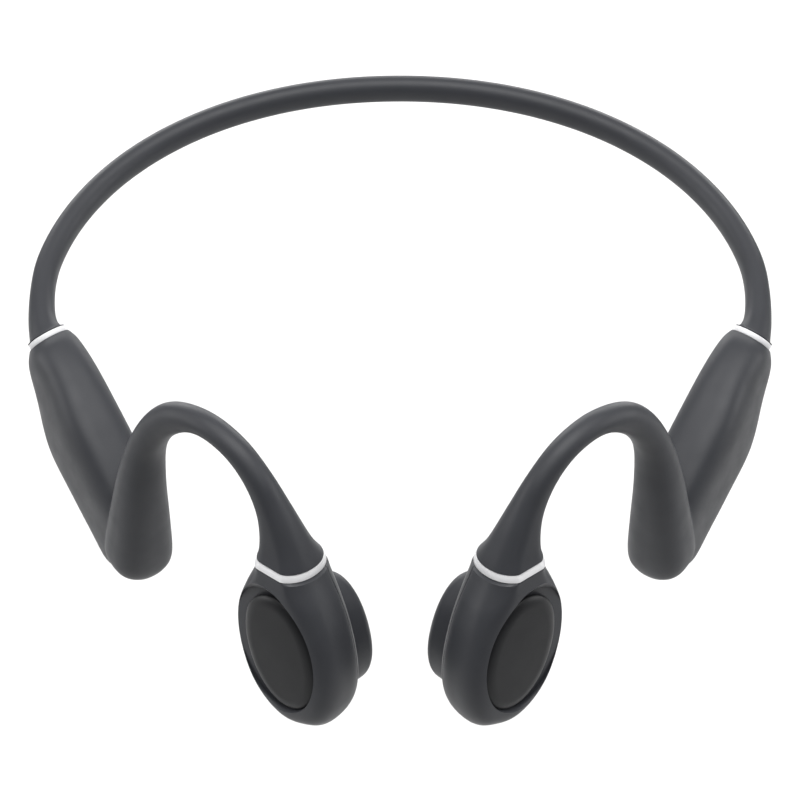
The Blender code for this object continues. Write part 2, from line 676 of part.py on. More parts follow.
def make_motor(side, name, hub, pad_hub):
    """Yoke, magnet and spring on the shell; coil and contact pad on the moving side."""
    axes = TRANSDUCER_AXES
    place = (MOTOR_ALONG, MOTOR_LIFT)
    yoke = cylinder(name + "_yoke", axes, side, place, YOKE_RADIUS, YOKE_BOTTOM, YOKE_TOP)
    bowl = as_cutter(cylinder(name + "_yoke_bowl", axes, side, place, YOKE_RADIUS - YOKE_WALL,
                              YOKE_BOTTOM - 1.0, YOKE_TOP - YOKE_WALL))
    dress(cut(yoke, bowl), "steel", hub)
    magnet = cylinder(name + "_magnet", axes, side, place, MAGNET_RADIUS,
                      YOKE_BOTTOM + 0.2, YOKE_TOP - YOKE_WALL - GAP)
    dress(magnet, "magnet", hub)

    low = SEAM + SPRING_BELOW_SEAM
    outline = (CAVITY[0] - SPRING_INSET, CAVITY[1] - SPRING_INSET, CAVITY_SQUARENESS)
    spring = oval_stack(name + "_suspension_spring", axes, side, place,
                        [(low, *outline), (low + SPRING_THICKNESS, *outline)])
    hole = as_cutter(cylinder(name + "_spring_hole", axes, side, place, SPRING_HOLE, low - 1, low + 1))
    dress(cut(spring, hole), "steel", hub)

    coil = cylinder(name + "_voice_coil", axes, side, place, COIL_RADIUS, PAD_BASE + GAP, COIL_TOP)
    core = as_cutter(cylinder(name + "_coil_core", axes, side, place, COIL_RADIUS - COIL_WALL,
                              PAD_BASE - 1.0, 0.0))
    dress(cut(coil, core), "copper", pad_hub)
    layers = [(PAD_FACE + height, PAD[0] - inset_along, PAD[1] - inset_up, PAD_SQUARENESS)
              for height, inset_along, inset_up in PAD_EDGE]
    layers.append((PAD_BASE, *PAD, PAD_SQUARENESS))
    pad = oval_stack(name + "_contact_pad", axes, side, (PAD_ALONG, MOTOR_LIFT), layers)
    dress(pad, "silicone", pad_hub)


def make_control(side, name, hub, cap_hub):
    """The oval cap in the shell's recess and the switch that its stem presses."""
    axes = TRANSDUCER_AXES
    place = (MOTOR_ALONG, MOTOR_LIFT)
    stem_end = SWITCH_TOP + CAP_TRAVEL + PRESS_GAP
    drop, inset = CAP_CHAMFER
    cap = oval_stack(name + "_control_cap", axes, side, place,
                     [(CAP_BOTTOM, *CAP, CAP_SQUARENESS), (CAP_TOP - drop, *CAP, CAP_SQUARENESS),
                      (CAP_TOP, CAP[0] - inset, CAP[1] - inset, CAP_SQUARENESS)])
    stem = as_cutter(cylinder(name + "_cap_stem", axes, side, place, STEM_RADIUS, stem_end,
                              CAP_BOTTOM + 0.5, 16))
    dress(combine(cap, stem, "UNION"), "cap", cap_hub)
    switch = block(name + "_control_switch", axes, side,
                   (YOKE_TOP + GAP, MOTOR_ALONG - SWITCH_HALF, MOTOR_LIFT - SWITCH_HALF),
                   (SWITCH_TOP, MOTOR_ALONG + SWITCH_HALF, MOTOR_LIFT + SWITCH_HALF), 0.2)
    dress(switch, "tray", hub)


def make_contents(contents, side, hub):
    for name, (low, high, bevel, finish) in contents.items():
        dress(block(name, HOUSING_AXES, side, low, high, bevel), finish, hub)


def make_volume_button(side, hub, name, along, skin, tray, button_hub):
    """An oval key in the skin's underside, with its stem and switch."""
    axes = HOUSING_AXES
    floor = SKIN_UNDERSIDE + BUTTON_THICKNESS - BUTTON_PROUD + BUTTON_TRAVEL + PRESS_GAP
    rounding, inset = BUTTON_ROUNDING
    mouth = (BUTTON[0] + GAP, BUTTON[1] + GAP, BUTTON_SQUARENESS)
    key_low = SKIN_UNDERSIDE - BUTTON_PROUD
    key_high = key_low + BUTTON_THICKNESS
    pocket = as_cutter(lift_stack(name + "_pocket", axes, side, (0.0, along),
                                  [(SKIN_UNDERSIDE - 3.0, *mouth), (floor, *mouth)], 20))
    stem_hole = lift_rod(name + "_stem_bore", side, along, KEY_STEM_BORE, floor - 0.5, KEY_STEM_END)
    cut(skin, pocket, stem_hole)
    cut(tray, stem_hole)
    key = lift_stack(name + "_button", axes, side, (0.0, along),
                     [(key_low, BUTTON[0] - inset, BUTTON[1] - inset, BUTTON_SQUARENESS),
                      (key_low + rounding, *BUTTON, BUTTON_SQUARENESS),
                      (key_high, *BUTTON, BUTTON_SQUARENESS)], 20)
    stem = lift_rod(name + "_stem", side, along, KEY_STEM_RADIUS, key_high - 0.4, KEY_STEM_END)
    dress(combine(key, stem, "UNION"), "silicone", button_hub)
    switch = block(name + "_switch", axes, side,
                   (-KEY_SWITCH_HALF, along - KEY_SWITCH_HALF, KEY_STEM_END + BUTTON_TRAVEL + PRESS_GAP),
                   (KEY_SWITCH_HALF, along + KEY_SWITCH_HALF, KEY_SWITCH_TOP), 0.15)
    dress(switch, "tray", hub)


def make_board_side(side, hub, skin, tray, cover, button_hubs):
    for name, along in BUTTON_PLACES.items():
        make_volume_button(side, hub, name, along, skin, tray, button_hubs[name])
    make_contents(BOARD_SIDE, side, hub)
    below = SKIN_UNDERSIDE - 3.0
    sound_hole = lift_rod("sound_hole", side, SOUND_HOLE_PLACE, SOUND_HOLE_RADIUS, below, KEY_STEM_END)
    light_bore = LIGHT_RADIUS + LIGHT_CLEARANCE
    light_hole = lift_rod("light_hole", side, LIGHT_PLACE, light_bore, below, LIGHT_HOLE_TOP)
    cut(skin, sound_hole, light_hole)
    cut(tray, sound_hole)
    light = lift_stack("status_light", HOUSING_AXES, side, (0.0, LIGHT_PLACE),
                       [(SKIN_UNDERSIDE + 0.1, LIGHT_RADIUS, LIGHT_RADIUS, 2),
                        (LIGHT_TOP, LIGHT_RADIUS, LIGHT_RADIUS, 2)], 12)
    dress(light, "lens", hub)
    make_charge_port(side, hub, cover)


def make_charge_port(side, hub, cover):
    """Two sprung pins in a seat that fills a slot in the cover, for a magnetic charging plug."""
    axes = HOUSING_AXES
    slot = as_cutter(oval_stack("port_slot", axes, side, PORT_PLACE,
                                [(HEAD_SIDE, *PORT_SLOT, PORT_SQUARENESS),
                                 (PORT_BACK + 1.0, *PORT_SLOT, PORT_SQUARENESS)]))
    cut(cover, slot)
    seat = oval_stack("charge_port_seat", axes, side, PORT_PLACE,
                      [(PORT_FACE, *PORT_SEAT, PORT_SQUARENESS), (PORT_BACK, *PORT_SEAT, PORT_SQUARENESS)])
    for end, along in PIN_PLACES.items():
        spot = (PORT_PLACE[0] + along, PORT_PLACE[1])
        bore = cylinder(end + "_pin_bore", axes, side, spot, PIN_BORE, PORT_FACE - 3.0, PORT_BACK + 3.0, 12)
        cut(seat, as_cutter(bore))
        pin = cylinder("charge_pin_" + end, axes, side, spot, PIN_RADIUS, PORT_FACE, PIN_BACK, 12)
        dress(pin, "gold", hub)
    dress(seat, "tray", hub)


def make_hub(name, point, side):
    hub = bpy.data.objects.new(name, None)
    hub.empty_display_size = 5 * MM
    hub.matrix_world = Matrix.Translation(world(point, side))
    PARTS.objects.link(hub)
    return hub


def flex_point():
    """The neckband's hinge: on the outer surface at the back, so that opening it parts the halves."""
    rise = math.radians(BAND_RISE)
    backwards = Vector((0.0, -math.cos(rise), math.sin(rise)))
    return band_centre(0.0) + backwards * (BAND_HALF_THICKNESS + FLEX_OUTSIDE)


def make_side(side, name):
    hub = make_hub(name + "_frame_hub", flex_point(), side)
    motor = TRANSDUCER_AXES.at(0.0, MOTOR_ALONG, MOTOR_LIFT)
    pad_hub = make_hub(name + "_pad_hub", motor, side)
    cap_hub = make_hub(name + "_control_hub", motor, side)
    band_channel = make_band(side, name, hub)
    make_rear_ring(side, name, hub, band_channel)
    skin, tray, cover, hook_channel = make_housing(side, name, hub, band_channel)
    make_front_ring(side, name, hub, hook_channel)
    make_transducer(side, name, hub, hook_channel)
    make_motor(side, name, hub, pad_hub)
    make_control(side, name, hub, cap_hub)
    return hub, skin, tray, cover


HOUSING_AXES = Axes(HOUSING_CENTRE, HOUSING_TOE, HOUSING_PITCH)
TRANSDUCER_AXES = Axes(NECK, TRANSDUCER_TOE, TRANSDUCER_PITCH, TRANSDUCER_BANK)

clear_scene()
PARTS = new_collection("bone_conduction_headphones")
CUTTERS = new_collection("cutters")

left_hub, *_ = make_side(1, "left")
make_contents(BATTERY_SIDE, 1, left_hub)
right_hub, right_skin, right_tray, right_cover = make_side(-1, "right")
volume_hubs = {name: make_hub(name + "_hub", HOUSING_AXES.at(0.0, along, SKIN_UNDERSIDE), -1)
               for name, along in BUTTON_PLACES.items()}
make_board_side(-1, right_hub, right_skin, right_tray, right_cover, volume_hubs)
bpy.context.view_layer.update()
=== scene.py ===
"""Looks of the bone conduction headphones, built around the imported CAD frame.

Shapes are worked out in millimetres on the wearer's left side, as (x, forward, z): x runs outward
from the middle plane, forward runs towards the face, and z runs up from the rear accent rings.
world() turns such points into metres for either side, at the place that the frame gives.
"""

import json
import math

import bmesh
import bpy
import numpy as np
from mathutils import Matrix, Vector

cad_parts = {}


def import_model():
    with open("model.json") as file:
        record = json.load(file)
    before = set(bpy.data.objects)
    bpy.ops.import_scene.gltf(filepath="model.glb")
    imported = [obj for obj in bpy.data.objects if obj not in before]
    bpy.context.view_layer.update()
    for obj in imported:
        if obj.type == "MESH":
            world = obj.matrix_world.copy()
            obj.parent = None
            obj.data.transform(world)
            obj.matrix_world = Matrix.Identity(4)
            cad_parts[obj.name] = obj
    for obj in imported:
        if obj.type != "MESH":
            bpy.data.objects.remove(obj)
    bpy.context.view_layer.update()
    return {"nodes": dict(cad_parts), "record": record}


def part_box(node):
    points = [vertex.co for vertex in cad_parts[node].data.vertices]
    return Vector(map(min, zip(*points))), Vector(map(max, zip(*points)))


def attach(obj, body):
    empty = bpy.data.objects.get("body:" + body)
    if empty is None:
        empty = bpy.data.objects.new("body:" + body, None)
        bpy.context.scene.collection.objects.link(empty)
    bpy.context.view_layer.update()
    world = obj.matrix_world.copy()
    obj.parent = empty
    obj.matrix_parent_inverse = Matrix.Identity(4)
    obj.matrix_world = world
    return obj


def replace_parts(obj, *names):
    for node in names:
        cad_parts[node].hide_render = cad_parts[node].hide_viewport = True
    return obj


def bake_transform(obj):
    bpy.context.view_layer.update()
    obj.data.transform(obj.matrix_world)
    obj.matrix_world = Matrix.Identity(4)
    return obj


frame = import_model()

MM = 0.001
LEFT, RIGHT = 1, -1
SIDE_NAMES = {LEFT: "left", RIGHT: "right"}

# ---------------------------------------------------------------- shape

SEAM_GAP = 0.14               # visible line between pieces that meet
EDGE = 0.22                   # rounding of the moulded edges at a seam
SOFT_EDGE = 0.08              # rounding of the sleeve's ends
END_ROUNDING = ((-SOFT_EDGE, 0.0), (-0.3 * SOFT_EDGE, 0.3 * SOFT_EDGE), (0.0, SOFT_EDGE))

# Neckband: one arch in a plane that rises towards the back of the head
BAND_HALF_SPAN = 72.6
BAND_ARCH_DEPTH = 60.5
BAND_STRAIGHT = 7.7
BAND_FULLNESS = 2.06
BAND_RISE = math.radians(10.3)
BAND_TUCK = 1.55
BAND_ARCH_SHARE = 0.9
BAND_HALF_THICKNESS = 2.48
BAND_HALF_HEIGHT = 3.01
BAND_SQUARENESS = 2.1
FLARE_START = 0.83
FLARE_THICKNESS = 1.5
FLARE_HEIGHT = 1.07
FLARE_POWER = 1.6
RING_TURN_START = 0.8

CHANNEL_RADIUS = 1.6
WIRE_RADIUS = 0.65
WIRE_OFFSET = -0.65
LEAD_RADIUS = 0.4
LEAD_OFFSET = 0.85
BAND_ENTRY = (-17.0, -13.5, -9.5)
HOOK_ENTRY = ((7.5, 1.0), (11.5, 2.6))
HOOK_WIRE_END = 3.5
HOOK_LEAD_END = 5.5

RING_HALF_WIDTH = 0.55
RING_EDGE = 0.1               # softening of the rings' edges
NECK_RING_HALF_WIDTH = 0.68
GAP = 0.3                     # clearance between the CAD's pieces

CAD_RING_PLACE = (-1.11, -0.01)        # forward and z of the CAD's rear rings

# Stations: x, forward, z, toe, pitch, bank, half thickness, half height, squareness, share of the
# reach at which the outer side is flat, softness of the flat's corners
HOUSING = [
    (70.05, -0.7, -0.4, 38.5, -36, 0, 4.0, 4.1, 2.2, 1.5, 0.01),
    (68.82, 2.08, -1.76, 38, -36, 0, 5.25, 6.13, 2.6, 1.5, 0.01),
    (66.15, 6.63, -5.62, 37, -37, 0, 5.78, 8.52, 3.0, 1.5, 0.01),
    (62.74, 13.09, -11.6, 36, -37, 0, 6.51, 10.55, 3.4, 1.5, 0.01),
    (58.14, 20.1, -17.2, 36, -38, 0, 6.59, 10.5, 3.4, 1.5, 0.01),
    (54.12, 26.53, -22.24, 36, -38, 0, 6.35, 10.1, 3.3, 1.5, 0.01),
    (51.4, 31.1, -25.75, 38, -38, 0, 6.0, 9.1, 3.2, 1.5, 0.01),
    (50.0, 33.5, -27.4, 38, -38, 0, 4.4, 6.9, 2.8, 1.5, 0.01),
]
HOOK = [
    (51.43, 30.38, -30.98, 36, 76, 0, 5.0, 4.91, 2.4, 1.5, 0.01),
    (51.37, 32.0, -26.81, 37, 78, 0, 6.37, 5.75, 2.6, 1.5, 0.01),
    (50.3, 33.68, -15.59, 39, 80, 0, 5.67, 5.24, 2.4, 1.5, 0.01),
    (49.16, 34.93, -4.63, 41, 80, 0, 4.72, 4.45, 2.2, 1.5, 0.01),
    (47.3, 36.15, 5.65, 43, 70, 0, 3.81, 3.38, 2.1, 1.5, 0.01),
    (44.25, 38.39, 13.12, 45, 48, 0, 3.22, 3.17, 2.0, 1.5, 0.01),
    (40.35, 41.6, 17.9, 46, 14, 3, 2.71, 3.15, 2.0, 1.5, 0.01),
    (34.98, 46.01, 20.29, 47, -16, 6, 2.58, 2.51, 2.0, 1.4, 0.05),
    (29.58, 50.9, 19.2, 48, -38, 8, 2.57, 2.44, 2.0, 1.25, 0.08),
    (25.47, 54.79, 15.31, 49, -56, 9, 2.69, 2.65, 2.05, 1.1, 0.1),
    (22.48, 57.51, 9.59, 50, -70, 10, 3.49, 3.05, 2.1, 0.98, 0.06),
    (20.59, 59.35, 3.34, 50, -81, 10, 5.04, 4.51, 2.15, 0.9, 0.03),
    (19.82, 59.84, -0.08, 50, -87.8, 10, 6.96, 5.85, 2.15, 0.88, 0.012),
]
NECK = (20.2, 59.8, -1.3)     # origin of the transducer's axes, beside the front accent ring
OVERRUN = 1.6                 # the skin is made this far past both rings, and is then cut off
NECK_BEYOND = (7.6, 6.4)      # the hook's section at that distance past the front ring
RING_BLOCK = np.array(((9, 9), (-9, 9), (-9, -9), (9, -9)))
RING_BLOCK_LENGTH = 5.0
RING_RELIEF = 0.06            # the front ring stands this far out of the limb
RING_TAPER = 0.5              # and is this much slimmer on the hook's side
TRANSDUCER_TOE = 50
TRANSDUCER_PITCH = -65
TRANSDUCER_BANK = 10
# Transducer stations: along, lift, half thickness, half width, squareness, flat share, softness, and
# the section's turn about the outward axis; the first lies in the front ring's plane
TRANSDUCER = [
    (-0.99, 0.81, 6.96, 5.85, 2.15, 0.88, 0.012, -22.8),
    (1.03, 0.49, 6.98, 6.4, 2.2, 0.88, 0.02, -20.0),
    (4.21, -0.84, 7.25, 8.19, 2.45, 0.88, 0.04, -13.0),
    (8.02, -2.39, 7.14, 10.12, 2.8, 0.89, 0.07, -4.0),
    (13.05, -3.09, 6.9, 11.26, 3.1, 0.9, 0.09, 0.0),
    (18.57, -3.31, 6.88, 11.27, 3.15, 0.9, 0.09, 0.0),
    (23.52, -3.3, 6.87, 10.32, 3.05, 0.91, 0.09, 0.0),
    (27.66, -3.03, 6.56, 8.33, 2.85, 0.93, 0.09, 0.0),
    (30.51, -2.68, 5.65, 5.89, 2.5, 0.97, 0.09, 0.0),
    (32.28, -2.4, 3.33, 3.34, 2.2, 1.0, 0.09, 0.0),
    (32.9, -2.0, 1.2, 1.2, 2.0, 1.1, 0.09, 0.0),
]
SEAM = -3.6                   # the shell meets the inner cover here, towards the head

# Motor and control, in the transducer's own axes (outward, along, lift)
MOTOR_ALONG = 16.2
MOTOR_LIFT = -2.9
CAVITY = (11.6, 8.6, 2.4)
CAVITY_TOP = 3.1
CAP = (11.8, 8.0, 2.1)
CAP_BOTTOM = 4.75
CAP_EDGE = 4.9                # where the cap's rounded edge begins
CAP_TOP = 6.0
CAP_DOME = 0.1
CAP_ROUNDING = 2.4            # how far in from its side the cap's edge is rounded
MOUTH_SHIFT = (-0.5, -1.3)    # the recess is wider than the cap towards the neck and behind it
MOUTH = (12.6, 9.45)
MOUTH_FLARE = 0.5             # how fast the recess widens towards its rim
FLARE_SHIFT = (-0.5, -0.9)    # and which way it leans as it widens
RECESS_FLOOR = 4.3
RECESS_STEP = 0.4             # the recess is straight for its first step and flares after it
RECESS_ROWS = 9
STEM_RADIUS = 1.4
SWITCH_TOP = 1.95
CAP_TRAVEL = 0.3
PRESS_GAP = 0.1               # left between the stem and its switch when pressed
JOIN = 0.3                    # how far a stem reaches into its cap
YOKE = (6.6, 5.6, -2.85, 0.5, -0.5)    # radius, bowl radius, bottom, top, bowl ceiling
MAGNET = (3.6, -2.65, -0.8)
COIL = (5.1, 4.2, -4.0, -1.2)
SPRING = (11.1, 8.1, 5.9, -3.5, -3.25)
PAD = (11.2, 7.0)
PAD_SQUARENESS = 2.15
PAD_BASE = -4.3
PAD_FACE = -12.9
PAD_ALONG = 18.4
PAD_ROUNDING = 2.3
PAD_CLEARANCE = 0.25

# Inside of a housing, in the housing's own axes (outward, along, lift)
HOUSING_CENTRE = (58.9, 19.3, -16.5)
HOUSING_TOE = 35
HOUSING_PITCH = -36
BAY_OUTER = 4.5
BAY_INNER = -4.3
BAY_REAR = -10.5
BAY_FRONT = 9.0
BAY_HALF_HEIGHT = 6.4
BAY_SQUARENESS = 4.5
BAY_BEVEL = 1.2
LEDGE = 0.8
HEAD_SIDE = -12.0
SKIN_UNDERSIDE = -10.1
BUTTON_GAP = 0.2              # around each volume key
BUTTON_PLACES = {"volume_down": -6.0, "volume_up": 2.0}
BUTTON = (2.7, 1.4, 2.6)
BUTTON_PROUD = 0.35
BUTTON_THICKNESS = 1.3
BUTTON_FLOOR = -8.65
KEY_STEM_RADIUS = 0.9
KEY_STEM_BORE = 1.25
KEY_STEM_END = -4.9
SOUND_HOLE = (6.8, 0.45)
LIGHT = (-2.0, 0.65)
LIGHT_TOP = -6.7
PORT_PLACE = (-0.75, 0.0)
PORT_SLOT = (4.45, 2.15, 5)
PORT_SEAT = (4.3, 2.0, 5)
PORT_FACE = -5.6
PORT_BACK = -3.2
PIN_PLACES = {"rear": -2.2, "front": 2.2}
PIN_RADIUS = 0.65
PIN_BORE = 0.8
PIN_BACK = -2.9

# How finely the surfaces are made
BAND_SIDES = 64
OVAL_SIDES = 96
FINE_POINTS = 240             # points in each stretch of a section before they are spaced
FACE_POINTS = 16              # points from the middle of a section's outer face to its corner
ROUND_POINTS = 44             # and from the corner round to the head side
LEAST_CORNER = 0.42           # the corner lies at least this many radians from the middle
STEPS = 12                    # rows for each span between stations
RELAX = 8                     # passes that even out the rows' curvature
SKIN_VOXEL = 0.25
SKIN_SOFTENING = 4            # passes that smooth the skin after its remesh

# ---------------------------------------------------------------- space


def middle_of(node):
    low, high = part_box(node)
    return (low + high) / 2


REAR_RING = middle_of("left_rear_ring") / MM
SETBACK = REAR_RING.y + CAD_RING_PLACE[0]
HEIGHT = REAR_RING.z - CAD_RING_PLACE[1]


def world(points, side):
    """Metres in the frame for one or many points in millimetres on the left (+1) or right (-1) side."""
    points = np.asarray(points, float)
    x, forward, z = points[..., 0], points[..., 1], points[..., 2]
    return np.stack((side * x, SETBACK - forward, z + HEIGHT), axis=-1) * MM


def directions(toe, pitch, bank=0.0):
    """Unit vectors along a limb, outward from the head, and up across the limb."""
    toe, pitch, bank = (math.radians(angle) for angle in (toe, pitch, bank))
    ahead = np.array((-math.sin(toe), math.cos(toe), 0.0))
    level_out = np.array((math.cos(toe), math.sin(toe), 0.0))
    vertical = np.array((0.0, 0.0, 1.0))
    outward = math.cos(bank) * level_out + math.sin(bank) * vertical
    upright = math.cos(bank) * vertical - math.sin(bank) * level_out
    along = math.cos(pitch) * ahead + math.sin(pitch) * upright
    lift = math.cos(pitch) * upright - math.sin(pitch) * ahead
    return along, outward, lift


class Axes:
    """A limb's own axes: points are given as (outward, along, lift) in millimetres."""

    def __init__(self, centre, toe, pitch, bank=0.0):
        self.centre = np.array(centre, float)
        self.along, self.outward, self.lift = directions(toe, pitch, bank)

    def at(self, outward, along, lift):
        return self.centre + self.outward * outward + self.along * along + self.lift * lift


HOUSING_AXES = Axes(HOUSING_CENTRE, HOUSING_TOE, HOUSING_PITCH)
TRANSDUCER_AXES = Axes(NECK, TRANSDUCER_TOE, TRANSDUCER_PITCH, TRANSDUCER_BANK)


def smooth(share):
    share = min(max(share, 0.0), 1.0)
    return share * share * (3 - 2 * share)


def relaxed(rows, passes):
    """Rows with their curvature evened out; the first and last stay."""
    rows = rows.copy()
    for _ in range(passes):
        rows[1:-1] = 0.25 * rows[:-2] + 0.5 * rows[1:-1] + 0.25 * rows[2:]
    return rows


def smooth_rows(rows, steps=STEPS, passes=RELAX):
    """Rows of numbers joined by a Catmull-Rom curve, with steps rows for each span."""
    rows = np.array(rows, float)
    padded = np.vstack((2 * rows[0] - rows[1], rows, 2 * rows[-1] - rows[-2]))
    result = []
    for before, start, end, after in zip(padded, padded[1:], padded[2:], padded[3:]):
        for step in range(steps):
            t = step / steps
            linear = (end - before) * t
            square = (2 * before - 5 * start + 4 * end - after) * t ** 2
            cube = (3 * start - before - 3 * end + after) * t ** 3
            result.append(0.5 * (2 * start + linear + square + cube))
    result.append(rows[-1])
    return relaxed(np.array(result), passes)


def spaced(points, count, closed):
    """The same line with count points an equal way apart."""
    line = np.vstack((points, points[:1])) if closed else points
    reach = np.concatenate(([0.0], np.cumsum(np.linalg.norm(np.diff(line, axis=0), axis=1))))
    stops = np.linspace(0, reach[-1], count, endpoint=not closed)
    return np.stack([np.interp(stops, reach, line[:, k]) for k in range(line.shape[1])], axis=1)


def section_arc(half_out, half_up, squareness, flat, softness, start, end):
    """Section points (out, up) over a stretch of angles: 0 is the outer side and pi the head side."""
    turn = np.linspace(start, end, FINE_POINTS)
    cosine, sine = np.cos(turn), np.sin(turn)
    reach = np.sign(cosine) * np.abs(cosine) ** (2 / squareness)
    height = np.sign(sine) * np.abs(sine) ** (2 / squareness)
    reach = reach - softness * np.log1p(np.exp(np.clip((reach - flat) / softness, -60, 60)))
    return np.stack((half_out * reach, half_up * height), axis=1)


def section_halves(half_out, half_up, squareness, flat, softness):
    """The upper half of a section in two stretches: the outer face, and round to the head side."""
    corner = max(math.acos(min(flat, 0.999) ** (squareness / 2)), LEAST_CORNER)
    shape = (half_out, half_up, squareness, flat, softness)
    return section_arc(*shape, 0.0, corner), section_arc(*shape, corner, math.pi)


def joined(*stretches):
    """Stretches of (line, count of points) joined end to end."""
    parts = [spaced(line, count, closed=False)[:-1] for line, count in stretches]
    return np.vstack(parts + [stretches[-1][0][-1:]])


def mirrored_section(upper):
    """The whole section from its upper half."""
    return np.vstack((upper, upper[-2:0:-1] * (1, -1)))


def whole_section(*shape):
    face, rest = section_halves(*shape)
    return mirrored_section(joined((face, FACE_POINTS), (rest, ROUND_POINTS)))


def oval_section(half_out, half_up, squareness, sides):
    turned = section_arc(half_out, half_up, squareness, 1.5, 0.01, 0.0, 2 * math.pi)
    return spaced(turned[:-1], sides, closed=True)


def place_section(points, centre, outward, up):
    return centre + points[:, :1] * outward + points[:, 1:] * up


# ---------------------------------------------------------------- meshes

COLLECTION = bpy.data.collections.new("bone_conduction_headphones")
bpy.context.scene.collection.children.link(COLLECTION)


def new_piece(name, points, faces):
    mesh = bpy.data.meshes.new(name)
    mesh.from_pydata([tuple(point) for point in points], [], faces)
    work = bmesh.new()
    work.from_mesh(mesh)
    bmesh.ops.remove_doubles(work, verts=work.verts, dist=1e-7)
    bmesh.ops.recalc_face_normals(work, faces=work.faces)
    work.to_mesh(mesh)
    work.free()
    piece = bpy.data.objects.new(name, mesh)
    COLLECTION.objects.link(piece)
    return piece


def skin_rings(name, rings, closed=False):
    """A solid through rings of world points: capped at both ends, or closed into a chain."""
    rings = [np.asarray(ring) for ring in rings]
    count = len(rings[0])
    faces = []
    following = list(range(1, len(rings))) + ([0] if closed else [])
    for low, high in enumerate(following):
        for index in range(count):
            after = (index + 1) % count
            faces.append((low * count + index, low * count + after, high * count + after,
                          high * count + index))
    if not closed:
        faces.append(tuple(range(count)))
        faces.append(tuple(range((len(rings) - 1) * count, len(rings) * count)))
    return new_piece(name, np.vstack(rings), faces)


def settle(piece):
    """Put what the modifiers make into the mesh."""
    bpy.context.view_layer.update()
    evaluated = piece.evaluated_get(bpy.context.evaluated_depsgraph_get())
    mesh = bpy.data.meshes.new_from_object(evaluated)
    piece.modifiers.clear()
    piece.data = mesh
    return piece


def discard(*pieces):
    for piece in pieces:
        bpy.data.objects.remove(piece, do_unlink=True)


def combined(piece, tools, operation, keep=False):
    for tool in tools:
        modifier = piece.modifiers.new("combine", "BOOLEAN")
        modifier.operation = operation
        modifier.object = tool
        modifier.solver = "EXACT"
    settle(piece)
    if not keep:
        discard(*tools)
    return piece


def cut(piece, *tools):
    return combined(piece, tools, "DIFFERENCE")


def copied(piece, name):
    duplicate = bpy.data.objects.new(name, piece.data.copy())
    COLLECTION.objects.link(duplicate)
    return duplicate


def mirrored(piece, name):
    """The same mesh on the other side of the middle plane."""
    duplicate = copied(piece, name)
    duplicate.data.transform(Matrix.Scale(-1, 4, Vector((1, 0, 0))))
    duplicate.data.flip_normals()
    return duplicate


def rounded_edges(piece, width, segments=3, angle=50):
    modifier = piece.modifiers.new("edges", "BEVEL")
    modifier.width = width * MM
    modifier.segments = segments
    modifier.limit_method = "ANGLE"
    modifier.angle_limit = math.radians(angle)
    modifier.harden_normals = False
    return settle(piece)


def shade(piece, angle=32):
    piece.data.shade_smooth()
    piece.data.set_sharp_from_angle(angle=math.radians(angle))
    return piece


def oval_ring(centre, across, up, half_across, half_up, squareness, sides=OVAL_SIDES):
    return place_section(oval_section(half_across, half_up, squareness, sides), centre, across, up)


def oval_stack(name, axes, side, place, layers, closed=False):
    """Ovals stacked outward: place is (along, lift), a layer is (outward, half along, half lift, n)."""
    rings = [world(oval_ring(axes.at(level, *place), axes.along, axes.lift, *shape), side)
             for level, *shape in layers]
    return skin_rings(name, rings, closed)


def lift_stack(name, axes, side, along, layers):
    """Ovals stacked along lift: a layer is (lift, half along, half out, n)."""
    rings = [world(oval_ring(axes.at(0.0, along, level), axes.along, axes.outward, *shape), side)
             for level, *shape in layers]
    return skin_rings(name, rings)


def lift_rod(name, side, along, radius, low, high):
    layers = [(low, radius, radius, 2.0), (high, radius, radius, 2.0)]
    return lift_stack(name, HOUSING_AXES, side, along, layers)


def rod(name, side, place, radius, low, high):
    layers = [(low, radius, radius, 2.0), (high, radius, radius, 2.0)]
    return oval_stack(name, TRANSDUCER_AXES, side, place, layers)


def edge_rows(low, high, size, radius, squareness, rows=5):
    """Layers of a slug from low to high whose edge at high is rounded by radius."""
    layers = [(low, *size, squareness)]
    sign = math.copysign(1.0, high - low)
    for row in range(rows + 1):
        turn = math.pi / 2 * row / rows
        inset = radius * (1 - math.cos(turn))
        level = high - sign * radius * (1 - math.sin(turn))
        layers.append((level, size[0] - inset, size[1] - inset, squareness))
    return layers


def tube(name, points, radius, sides=24):
    """A round bar along world points, with closed ends."""
    points = np.asarray(points, float)
    ahead = np.gradient(points, axis=0)
    ahead /= np.linalg.norm(ahead, axis=1)[:, None]
    side_way = np.cross(ahead[0], (0.0, 0.0, 1.0))
    rings = []
    turn = np.linspace(0, 2 * np.pi, sides, endpoint=False)[:, None]
    for point, direction in zip(points, ahead):
        side_way = side_way - direction * side_way.dot(direction)
        side_way /= np.linalg.norm(side_way)
        other = np.cross(direction, side_way)
        rings.append(point + radius * MM * (np.cos(turn) * side_way + np.sin(turn) * other))
    return skin_rings(name, rings)


# ---------------------------------------------------------------- routes

def band_centre(share):
    """Middle of the neckband, from the back of the head (0) to the ring (1)."""
    if share < BAND_ARCH_SHARE:
        angle = share / BAND_ARCH_SHARE * math.pi / 2
        x = BAND_HALF_SPAN * math.sin(angle) ** (2 / BAND_FULLNESS)
        depth = BAND_STRAIGHT + BAND_ARCH_DEPTH * math.cos(angle) ** (2 / BAND_FULLNESS)
    else:
        turn = (share - BAND_ARCH_SHARE) / (1 - BAND_ARCH_SHARE)
        x = BAND_HALF_SPAN - BAND_TUCK * turn ** 2
        depth = BAND_STRAIGHT * (1 - turn)
    return np.array((x, -depth * math.cos(BAND_RISE), depth * math.sin(BAND_RISE)))


